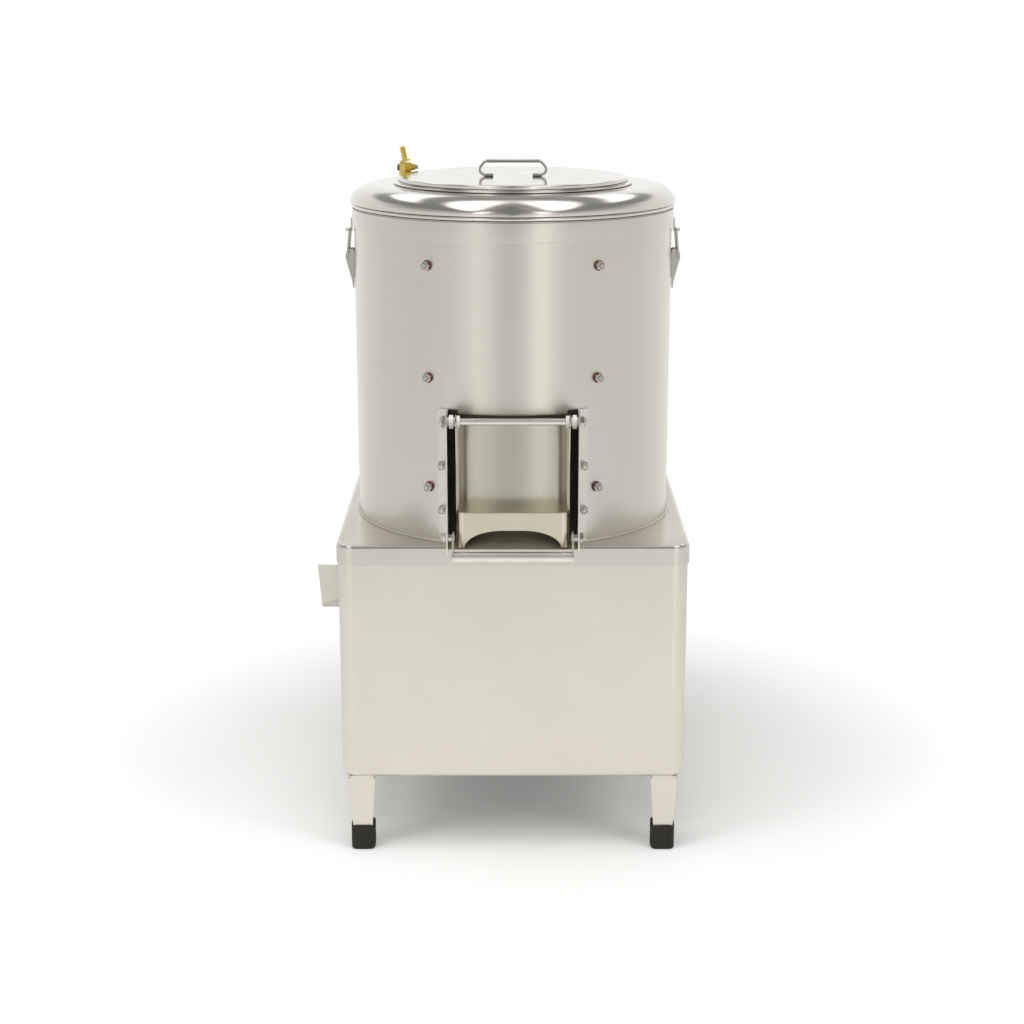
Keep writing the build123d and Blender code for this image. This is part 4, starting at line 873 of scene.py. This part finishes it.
class Workshop:
    """The materials and growths that the sub-assemblies share."""

    GRAIN = 0.9  # radius of a grain, in millimetres
    GRAINS = 21000.0  # per square metre

    def __init__(self) -> None:
        """Build the materials and the growths."""
        self.materials = {finish.name: Paint(finish).material for finish in FINISHES}
        self.fasteners = fastener_growth()
        self.threads = thread_growth()
        self.beads = bead_growth()
        self.grit = grit_growth()

    def dress_frame(self) -> None:
        """Give every CAD node its material: that of its slot, or a finish of its own."""
        for row in frame["record"]["subparts"]:
            node = frame["nodes"][row["node"]]
            node.data.materials.clear()
            self.paint(node, OWN_FINISH.get(row["node"], row["material_slot"]))

    def paint(self, piece: bpy.types.Object, *finishes: str) -> None:
        """Add finishes to a piece."""
        for name in finishes:
            piece.data.materials.append(self.materials[name])

    def fit(self, piece: bpy.types.Object, slot: str, body: str, *nodes: str) -> None:
        """Finish a piece: its material, its body and the nodes that it stands for.

        Args:
            piece: The piece, at the origin.
            slot: The record's material slot.
            body: The CAD body that it rides on.
            *nodes: CAD nodes that it replaces.
        """
        if not piece.data.materials:
            self.paint(piece, slot)
        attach(piece, body)
        if nodes:
            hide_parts(*nodes)
        LOG.info("%s: %d faces", piece.name, len(piece.data.polygons))

    def fasten(
        self, name: str, template: bpy.types.Object, spots: Sequence[Spot], slot: str,
        *nodes: str, body: str = "frame", sizes: Sequence[Point3] = (),
    ) -> None:
        """Set a fastener at each spot and finish the piece.

        Args:
            name: The piece's name.
            template: The fastener; it is deleted after its use.
            spots: Each place in millimetres, with its outward direction.
            slot: The record's material slot.
            *nodes: CAD nodes that the piece replaces.
            body: The body that it rides on.
            sizes: Size of each copy across, across and along, where they differ.
        """
        base = make_piece(name, [place(at) for at, _ in spots], [])
        directions = [out for _, out in spots]
        sizes = sizes or [(1.0, 1.0, 1.0)] * len(spots)
        for label, values in (("outward", directions), ("size", sizes)):
            attribute = base.data.attributes.new(label, "FLOAT_VECTOR", "POINT")
            for row, value in zip(attribute.data, values):
                row.vector = value
        piece = self.fasteners.grow(
            base, Template=template, Spin=FASTENER_SPIN, Seed=FASTENER_SEED,
            Finish=self.materials[slot],
        )
        bpy.data.objects.remove(template)
        piece.data.set_sharp_from_angle(angle=math.radians(FASTENER_SHARP))
        self.fit(piece, slot, body, *nodes)

    def weld(self, name: str, path: Sequence[Point3], size: float, closed: bool) -> None:
        """Lay a weld bead along a path on the drum.

        Args:
            name: The piece's name.
            path: Points in millimetres.
            size: Radius of the bead.
            closed: Whether the path closes.
        """
        base = make_piece(name, [], [])
        edges = [(k, k + 1) for k in range(len(path) - 1)]
        if closed:
            edges.append((len(path) - 1, 0))
        base.data.from_pydata([tuple(place(at)) for at in path], edges, [])
        piece = self.beads.grow(base, Size=size * MM, Finish=self.materials["weld_metal"])
        self.fit(piece, "drum_steel", "frame")

    def coat(
        self, node: str, slot: str, body: str, towards: Point3, mask: Point3, seed: int
    ) -> None:
        """Coat a CAD node's faces with loose-looking grains.

        Args:
            node: The CAD node.
            slot: The record's material slot.
            body: The body that it rides on.
            towards: The grains stand on the faces that look towards this point.
            mask: Which directions count.
            seed: Seed of the scatter.
        """
        base = bpy.data.objects.new(f"{node}_grains", frame["nodes"][node].data.copy())
        bpy.context.scene.collection.objects.link(base)
        piece = self.grit.grow(
            base, Density=self.GRAINS, Grain=self.GRAIN * MM, Towards=place(towards), Mask=mask,
            Seed=seed, Finish=self.materials[slot],
        )
        self.fit(piece, slot, body)


# ---- Sub-assemblies ---------------------------------------------------------------------
@dataclass
class Assembly:
    """A group of pieces, and the workshop that finishes them."""

    shop: Workshop


@dataclass
class Cover(Assembly):
    """The spun cover: brushed skirt, bead, polished elliptical dome and rolled mouth."""

    sheet: float = 1.5
    skirt_low: float = 751.0
    skirt_radius: float = 197.2
    shoulder: float = 0.6
    ledge: float = 774.0
    ledge_inside: float = 191.0
    bead: Point2 = (2.5, 2.2)  # its radii
    bead_low: float = 774.7
    bead_inset: float = 1.0
    seam_depth: float = 2.4
    dome_radius: float = 199.2
    dome_base: float = 780.3
    dome_size: Point2 = (32.0, 21.0)
    dome_lip: float = 0.4
    mouth: float = 133.0
    mouth_bend: float = 1.6
    collar: float = 806.3

    def profile(self) -> list[Point2]:
        """Draw the section, from the mouth over the dome to the skirt and back inside.

        Returns:
            Radius and height of each ring.
        """
        t = self.sheet
        roll, bend, shoulder, lip = t / 2, self.mouth_bend, self.shoulder, self.dome_lip
        base, (wide, high) = self.dome_base, self.dome_size
        top, crown = base + high, self.dome_radius - wide
        skirt, ledge, groove = self.skirt_radius, self.ledge, self.skirt_radius - self.seam_depth
        profile = [(self.mouth, top - t)]
        profile += arc((self.mouth + roll, self.collar - roll), (roll, roll), 180, 0, 8)
        profile += arc((self.mouth + t + bend, top + bend), (bend, bend), 180, 270, 6)
        profile += [((self.mouth + crown) / 2, top)]
        profile += arc((crown, base), self.dome_size, 90, 0, 48)
        profile += [(self.dome_radius - lip, base - 0.35), (groove, base - lip)]
        profile += [(groove, base - 3 * lip)]
        profile += arc(
            (skirt - self.bead_inset, self.bead_low + self.bead[0]), self.bead, 64, -72, 14
        )
        profile += [(groove, self.bead_low + 0.2), (groove, ledge - 1.5 * shoulder)]
        profile += arc((skirt - shoulder, ledge - 1.5), (shoulder, shoulder), 90, 0, 4)
        profile += arc((skirt - roll, self.skirt_low + roll), (roll, roll), 0, -180, 8)
        profile += [(skirt - t, ledge), (self.ledge_inside, ledge)]
        profile += [(self.ledge_inside, ledge + t), (groove - t, ledge + t)]
        profile += [(groove - t, base - 1.4)]
        return profile + arc((crown, base), (wide - t, high - t), 0, 90, 32)

    def dress(self) -> None:
        """Turn the cover and finish it, with painted shade in the seams beside the bead."""
        piece = turned("cover_spun", self.profile(), 320, True)
        self.shop.paint(piece, "polished_steel", "drum_steel", "seam_grime")
        polished, brushed, shaded_seam = range(3)
        inside = self.skirt_radius - self.seam_depth - 0.1
        outside = self.skirt_radius - self.shoulder - 0.1
        for face in piece.data.polygons:
            height = face.center.z / MM
            radius = (face.center - AXIS).xy.length / MM
            # faces in the grooves beside the bead take the dark seam finish: painted shade
            if inside < radius < outside and height > self.ledge - 1.2:
                face.material_index = shaded_seam if height < self.dome_base else polished
            elif height < self.ledge:
                face.material_index = brushed
        self.shop.fit(piece, "polished_steel", "frame", "cover")


@dataclass
class Lid(Assembly):
    """The loading lid: an inverted pan with a rolled flange round its foot."""

    foot: float = 801.3
    top: float = LID_TOP
    radius: float = 140.0
    sheet: float = 1.2
    flange: float = 6.0
    centre: float = 6.0
    dish: float = 0.35
    bend: float = 1.8
    root: Point2 = (1.9, 1.7)
    hem: float = 1.1

    def profile(self) -> list[Point2]:
        """Draw the section, from the middle over the rim and back inside.

        Returns:
            Radius and height of each ring.
        """
        r, t, foot, top, bend, hem = self.radius, self.sheet, self.foot, self.top, self.bend, self.hem
        rim, under = r + self.flange, top - t - self.dish
        profile = [(self.centre, top - self.dish), (r * 0.5, top - 0.3), (r * 0.9, top - 0.1)]
        profile += arc((r - bend, top - bend), (bend, bend), 90, 8, 8)
        profile += [(r + 0.1, foot + 4.4)]
        profile += arc((r + 2.0, foot + 4.2), self.root, 175, 265, 6)
        profile += arc((rim - hem, foot + 1.4), (hem, hem), 84, -60, 8)
        profile += [(rim - 1.6, foot + 0.1), (rim - 2.2, foot + 0.7), (r, foot + 1.4)]
        return profile + [(r - t, top - 3.2), (r - 3.0, under), (self.centre, under)]

    def dress(self) -> None:
        """Turn the lid and finish it, with painted shade under the flange and at its root."""
        piece = turned("lid_pan", self.profile(), 288)
        self.shop.paint(piece, "polished_steel", "seam_grime")
        for face in piece.data.polygons:
            out = (face.center - AXIS).xy.length / MM - self.radius
            up = face.center.z / MM - self.foot
            # faces under the flange and at the root of the lid's wall take the dark seam finish:
            # painted shade
            seam = out > -0.5 and up < 0.75
            root = abs(out - 0.45) < 0.5 and abs(up - 3.7) < 0.7
            face.material_index = int(seam or root)
        self.shop.fit(piece, "polished_steel", "lid", "lid")


@dataclass
class LidHandle(Assembly):
    """The lid's strap handle, drawn in the XZ plane, and the spot welds of its feet."""

    foot: float = LID_TOP + 1.15
    width: float = 22.0
    thickness: float = 2.6
    edge: float = 0.9
    bend: float = 6.0
    bend_steps: int = 8
    top: Point2 = (34.0, LID_TOP + 18.0)
    elbow: Point2 = (44.0, LID_TOP + 6.5)
    feet: Point2 = (34.0, 24.0)  # where each foot starts and ends, from the middle
    welds: Point2 = (28.0, 5.5)  # X and Y

    def path(self) -> list[Point2]:
        """Draw the strap's middle from foot to foot, with its bends rounded.

        Returns:
            Points (x, z).
        """
        right = [self.top, self.elbow, *((x, self.foot) for x in self.feet)]
        corners = [(-x, z) for x, z in reversed(right)] + right
        path = [corners[0]]
        for before, here, after in zip(corners, corners[1:], corners[2:]):
            to_before = (Vector(before) - Vector(here)).normalized()
            to_after = (Vector(after) - Vector(here)).normalized()
            half = math.acos(max(-1.0, min(1.0, to_before.dot(to_after)))) / 2
            back = self.bend / math.tan(half)
            out = self.bend / math.sin(half)
            centre = Vector(here) + (to_before + to_after).normalized() * out
            start = Vector(here) + to_before * back - centre
            end = Vector(here) + to_after * back - centre
            for step in range(self.bend_steps + 1):
                spoke = start.lerp(end, step / self.bend_steps).normalized() * self.bend
                path.append(tuple(centre + spoke))
        return path + [corners[-1]]

    def strap(self) -> bpy.types.Object:
        """Sweep the strap with its rounded edges along the path.

        Returns:
            The object.
        """
        half, thin = self.width / 2 - self.edge, self.thickness / 2 - self.edge
        section: list[Point2] = []
        for sx, sy, start in ((1, 1, 0), (-1, 1, 90), (-1, -1, 180), (1, -1, 270)):
            section += arc((sx * thin, sy * half), (self.edge, self.edge), start, start + 90, 4)
        path = self.path()
        vertices: list[Vector] = []
        for index, here in enumerate(path):
            before = Vector(path[max(index - 1, 0)])
            after = Vector(path[min(index + 1, len(path) - 1)])
            ahead = (after - before).normalized()
            normal = Vector((-ahead.y, ahead.x))
            for out, side in section:
                at = Vector(here) + normal * out
                vertices.append(place((at.x, side, at.y)))
        faces = skin(len(path), len(section), False)
        return make_piece("lid_strap_handle", vertices, faces, 40.0)

    def dress(self) -> None:
        """Bend the strap, press its spot welds and finish both."""
        piece = self.strap()
        self.shop.paint(piece, "handle_steel")
        self.shop.fit(piece, "polished_steel", "lid", "lid_handle")
        top = self.foot + self.thickness / 2
        x, y = self.welds
        spots = [((sx * x, sy * y, top), (0.0, 0.0, 1.0)) for sx in (-1, 1) for sy in (-1, 1)]
        self.shop.fasten(
            "handle_spot_welds", SpotWeld().template(), spots, "polished_steel", body="lid"
        )


@dataclass
class Drum(Assembly):
    """The drum's welds, its lining's grit and the fasteners that hold the lining."""

    radius: float = DRUM_RADIUS
    foot: float = 394.0
    lining_inside: float = 189.2
    washer_seat: float = 195.05
    rows: tuple[float, ...] = (66.0, 197.0, 328.0)  # heights over the foot
    columns: tuple[float, ...] = (30.5, 102.0, 172.0)  # degrees from the door, on both sides
    bead: float = 0.9
    foot_bead: float = 1.5
    foot_steps: int = 1440
    seam: Point2 = (462.0, 748.0)  # its low and high end

    def stations(self, radius: float) -> list[Spot]:
        """List the lining's bolt holes at a distance from the axis, each with its way out."""
        return [
            around(radius, side * column, self.foot + row)
            for side in (-1, 1) for column in self.columns for row in self.rows
        ]

    def welds(self) -> None:
        """Lay the bead round the drum's foot and the seam up its back."""
        out, up, steps = self.radius + self.bead, self.foot + self.bead, self.foot_steps
        ring = [around(out, 360 * k / steps, up)[0] for k in range(steps)]
        self.shop.weld("drum_foot_weld", ring, self.foot_bead, True)
        low, high = self.seam
        count = int((high - low) / self.bead)
        line = [(0.0, self.radius + 0.2, low + self.bead * k) for k in range(count)]
        self.shop.weld("drum_seam_weld", line, self.bead, False)

    def fasteners(self) -> None:
        """Set the lining's bolts, fibre washers and nuts."""
        washer = Washer()
        for kind, drawing, radius, slot in (
            ("bolt", Bolt(), self.lining_inside, "bright_fastener"),
            ("washer", washer, self.washer_seat, "red_fibre"),
            ("nut", Nut(), self.washer_seat + washer.thick, "bright_fastener"),
        ):
            name, node = f"lining_{kind}_set", f"lining_{kind}s"
            self.shop.fasten(name, drawing.template(), self.stations(radius), slot, node)

    def dress(self) -> None:
        """Build the pieces and finish them."""
        self.welds()
        self.fasteners()
        for seed, node in ((3, "lining_left"), (4, "lining_right")):
            self.shop.coat(node, "abrasive_lining", "frame", (0, 0, 600), (1, 1, 0), seed)
        self.shop.coat("abrasive_disc", "abrasive_disc", "disc", (0, 0, 90000), (1, 1, 1), 11)


@dataclass
class Outlet(Assembly):
    """The dome nuts of the hinge rod, the bail and the flanges."""

    cheek_outside: float = 77.6
    rod: Point2 = (-215.0, 548.0)  # Y and Z
    bail: Point2 = (-226.0, 413.0)  # Y and Z
    flange_outside: float = 197.15
    stud_half: float = 82.4
    stud_rows: tuple[float, ...] = (434.5, 488.0)
    rod_nut: float = 1.25  # its width over that of the others

    def dress(self) -> None:
        """Set the dome nuts; those of the rod are larger across."""
        spots: list[Spot] = []
        sizes: list[Point3] = []
        angle = math.degrees(math.asin(self.stud_half / self.flange_outside))
        for side in (-1, 1):
            for (y, z), across in ((self.rod, self.rod_nut), (self.bail, 1.0)):
                spots.append(((side * self.cheek_outside, y, z), (float(side), 0.0, 0.0)))
                sizes.append((across, across, 1.0))
            for z in self.stud_rows:
                spots.append(around(self.flange_outside, side * angle, z))
                sizes.append((1.0, 1.0, 1.0))
        nut = DomeNut().template()
        self.shop.fasten("dome_nut_set", nut, spots, "bright_fastener", "dome_nuts", sizes=sizes)


@dataclass
class Inlet(Assembly):
    """The thread of the water inlet's nipple, above and below the cover."""

    at: Point2 = (-137.0, 100.0)
    root: float = 3.9
    pitch: float = 0.95
    upper: Point2 = (805.0, 2.0)  # low end and length
    lower: Point2 = (787.8, 7.0)

    def dress(self) -> None:
        """Wind the thread's two runs."""
        for name, (low, length) in (("upper", self.upper), ("lower", self.lower)):
            piece = self.shop.threads.grow(
                make_piece(f"inlet_{name}_thread", [], []), Radius=self.root * MM,
                Length=length * MM, Turns=length / self.pitch, Ridge=self.pitch * 0.3 * MM,
                Foot=place((*self.at, low)), Finish=self.shop.materials["brass"],
            )
            self.shop.fit(piece, "brass", "frame")


@dataclass
class RearPanel(Assembly):
    """The rear panel's screws."""

    face: float = 362.35
    half: float = 187.5
    rows: tuple[float, ...] = (139.0, 248.25, 357.5)

    def dress(self) -> None:
        """Set the pan-head screws."""
        back = (0.0, 1.0, 0.0)
        spots = [((side * self.half, self.face, z), back) for side in (-1, 1) for z in self.rows]
        screw = PanHead().template()
        self.shop.fasten("rear_screw_set", screw, spots, "bright_fastener", "rear_panel_screws")


# ---- Studio -----------------------------------------------------------------------------
SOFTBOX_EDGE = (0.65, 1.2)  # where a softbox's light starts to fade and ends, in half sizes


@dataclass(frozen=True)
class Lamp:
    """One soft lamp, which lights but isn't mirrored."""

    name: str
    at: Point3
    size: Point2  # width and height, in metres
    power: float  # in watts

    def build(self) -> None:
        """Add the lamp, aimed at the middle of the object."""
        data = bpy.data.lights.new(self.name, "AREA")
        data.shape = "ELLIPSE"
        data.size, data.size_y = self.size
        data.energy = self.power
        lamp = bpy.data.objects.new(self.name, data)
        lamp.location = place(self.at)
        aim = place((0, 0, 500)) - lamp.location
        lamp.rotation_euler = aim.to_track_quat("-Z", "Y").to_euler()
        lamp.visible_glossy = False
        bpy.context.scene.collection.objects.link(lamp)


@dataclass(frozen=True)
class Softbox:
    """A soft light in the mirrored ceiling, one on each side."""

    at: Point2  # on a ceiling one unit up, to the right and back
    half: Point2  # half its width and length
    lean: float  # turn of its length, in degrees
    level: float  # brightness

    def glow(self, sheet: Sheet, spot: Socket) -> Socket:
        """Add the softbox's light.

        Args:
            sheet: The world's sheet.
            spot: The point on the ceiling that a direction meets.

        Returns:
            The brightness there.
        """
        box = sheet.add("ShaderNodeMapping", {
            "Vector": spot, "Location": (*self.at, 0.0), "Scale": (*self.half, 1.0),
            "Rotation": (0.0, 0.0, math.radians(self.lean)),
        }, vector_type="TEXTURE")
        away = sheet.length(box)
        return sheet.span(away, *SOFTBOX_EDGE, self.level, 0.0, Ease.SOFT)


WALLS = (  # brightness by direction in degrees, from behind round the left to behind again
    (-180, 1.0), (-150, 0.92), (-120, 0.80), (-95, 0.75), (-60, 0.72), (-40, 0.78), (-31, 0.90),
    (-24, 1.10), (-18, 0.88), (-9, 0.70), (-2, 0.66), (6, 0.72), (13, 0.92), (19, 1.32), (26, 0.95),
    (35, 0.80), (48, 0.75), (95, 0.75), (115, 0.81), (137, 0.88), (180, 1.0),
)
CEILING = (  # brightness by height, from level to straight up
    (0.0, 1.0), (0.1, 0.92), (0.2, 0.78), (0.3, 0.62), (0.4, 0.50), (0.5, 0.42), (0.6, 0.37),
    (1.0, 0.35),
)


@dataclass
class Studio:
    """Floor, room light, lamps and camera."""

    camera_at: Point3 = (0.0, -2356.8, 1011.1)
    pitch: float = 14.91
    lens: float = 66.9
    shift: float = -0.0009
    floor_radius: float = 1500.0
    floor_glow: Point2 = (0.12, 0.42)  # near the object and far off; lower near the object, which paints a shade round it
    glow_reach: Point2 = (0.35, 0.95)  # in metres from the axis
    mirrored_glow: float = 0.08
    room_light: float = 0.43
    room_colour: Colour = (1.0, 0.99, 0.975)
    dim: float = 0.34  # brightness of the ceiling's dark oval and of the aisle down its middle
    ceiling_drop: Point2 = (0.45, 0.2)  # how much lower it is behind and beside
    ceiling_start: Point2 = (0.13, 0.26)
    lowest: float = 0.05
    oval: Point2 = (1.35, 2.1)
    oval_back: float = 0.2
    oval_edge: Point2 = (0.85, 1.12)
    aisle: Point2 = (0.12, 0.32)
    lamps: tuple[Lamp, ...] = (
        Lamp("top_soft_box", (-200, -700, 2600), (1.8, 1.4), 27.0),
        Lamp("left_soft_box", (-1900, -1500, 1700), (1.2, 1.4), 14.0),
        Lamp("right_soft_box", (1900, -1500, 1700), (1.2, 1.4), 14.0),
    )
    softboxes: tuple[Softbox, ...] = (
        Softbox((0.35, -0.12), (0.20, 0.88), 19.0, 1.35),
        Softbox((0.44, 1.30), (0.17, 0.90), 14.0, 1.4),
        Softbox((0.80, -1.85), (0.20, 0.95), 27.0, 1.0),
    )

    def camera(self) -> None:
        """Add the camera, level with the room and pitched down."""
        data = bpy.data.cameras.new("camera")
        data.lens = self.lens
        data.sensor_width = 36.0
        data.shift_x = self.shift
        camera = bpy.data.objects.new("camera", data)
        camera.location = place(self.camera_at)
        camera.rotation_euler = (math.radians(90 - self.pitch), 0.0, 0.0)
        bpy.context.scene.collection.objects.link(camera)
        bpy.context.scene.camera = camera

    def floor(self) -> None:
        """Add the pale floor, which keeps the object's shadow and has a painted shade round the object,
        where its glow is lower.
        """
        steps = 96
        rim = [place(around(self.floor_radius, 360 * k / steps, 0.0)[0]) for k in range(steps)]
        piece = make_piece("studio_floor", rim, [list(range(steps))])
        if piece.data.polygons[0].normal.z < 0:
            piece.data.flip_normals()
        material = bpy.data.materials.new("studio_floor")
        material.use_nodes = True
        sheet = Sheet(material.node_tree)
        spot = sheet.add("ShaderNodeTexCoord").outputs["Object"]
        mottle = sheet.swing(sheet.noise(spot, 3.0, 3.0), 0.0, 1.0)
        colour = sheet.blend(mottle, (0.94, 0.94, 0.94), (0.92, 0.92, 0.915))
        away = sheet.length(sheet.vector_math("SUBTRACT", spot, tuple(AXIS)))
        # the glow seen by the camera is lower near the object: painted shade round it
        glow = sheet.span(away, *self.glow_reach, *self.floor_glow, Ease.SOFT)
        seen, mirrored = sheet.views()
        mirrored = sheet.times(mirrored, self.mirrored_glow)
        shown = sheet.plus(sheet.times(seen, glow), mirrored)
        sheet.add("ShaderNodeOutputMaterial", {0: sheet.add("ShaderNodeAddShader", {
            0: sheet.add("ShaderNodeBsdfDiffuse", {"Color": colour}),
            1: sheet.add("ShaderNodeEmission", {"Strength": shown}),
        })})
        piece.data.materials.append(material)

    def mirrored_room(self, sheet: Sheet) -> Socket:
        """Make what polished metal mirrors: banded walls, a dim ceiling and its softboxes.

        Args:
            sheet: The world's sheet.

        Returns:
            The brightness by direction.
        """
        x, y, z = sheet.split(sheet.add("ShaderNodeTexCoord").outputs["Generated"])
        side = sheet.math("ABSOLUTE", x)
        turn = sheet.math("ARCTAN2", x, sheet.times(y, -1.0))
        stops = [((angle + 180) / 360, level) for angle, level in WALLS]
        walls = sheet.ramp(sheet.span(turn, -math.pi, math.pi, 0.0, 1.0), stops)
        behind = sheet.times(sheet.math("MAXIMUM", y, 0.0), self.ceiling_drop[0])
        beside = sheet.times(side, self.ceiling_drop[1])
        ceiling = sheet.ramp(sheet.math("SUBTRACT", z, sheet.plus(behind, beside)), CEILING)
        up = sheet.math("MAXIMUM", z, self.lowest)
        across, back = (sheet.math("DIVIDE", way, up) for way in (side, y))
        spot = sheet.vector(across, back, 0.0)
        over = sheet.span(z, *self.ceiling_start, 0.0, 1.0)
        wide, deep = self.oval
        oval = sheet.vector_math("SUBTRACT", spot, (0, self.oval_back, 0))
        oval = sheet.vector_math("MULTIPLY", oval, (1 / wide, 1 / deep, 0))
        hole = sheet.span(sheet.length(oval), *self.oval_edge, self.dim, 1.0, Ease.SOFT)
        aisle = sheet.span(across, *self.aisle, self.dim, 1.0, Ease.SOFT)
        aisle = sheet.math("MAXIMUM", aisle, sheet.math("SUBTRACT", 1.0, over))
        dark = sheet.math("MINIMUM", hole, aisle)
        total = sheet.times(walls, sheet.math("MINIMUM", ceiling, dark))
        for box in self.softboxes:
            light = sheet.times(box.glow(sheet, spot), over)
            total = sheet.plus(total, light)
        return total

    def room(self) -> None:
        """Light the room: white where it is seen, soft light, and a banded room in mirrors."""
        world = bpy.data.worlds.new("studio_room")
        bpy.context.scene.world = world
        world.use_nodes = True
        sheet = Sheet(world.node_tree)
        light = {"Color": self.room_colour, "Strength": self.room_light}
        shader = sheet.add("ShaderNodeBackground", light)
        seen, mirrored = sheet.views()
        for factor, colour in ((mirrored, self.mirrored_room(sheet)), (seen, (1, 1, 1))):
            other = sheet.add("ShaderNodeBackground", {"Color": colour})
            shader = sheet.add("ShaderNodeMixShader", {0: factor, 1: shader, 2: other})
        sheet.add("ShaderNodeOutputWorld", {0: shader})

    def build(self) -> None:
        """Build the studio."""
        bpy.context.scene.view_settings.view_transform = "Standard"
        self.floor()
        self.room()
        for lamp in self.lamps:
            lamp.build()
        self.camera()


def main() -> None:
    """Build every sub-assembly in order, and the studio."""
    logging.basicConfig(level=logging.INFO, format="%(name)s: %(message)s")
    shop = Workshop()
    shop.dress_frame()
    for assembly in (Cover, Lid, LidHandle, Drum, Outlet, Inlet, RearPanel):
        assembly(shop).dress()
    Studio().build()


if __name__ == "__main__":
    main()
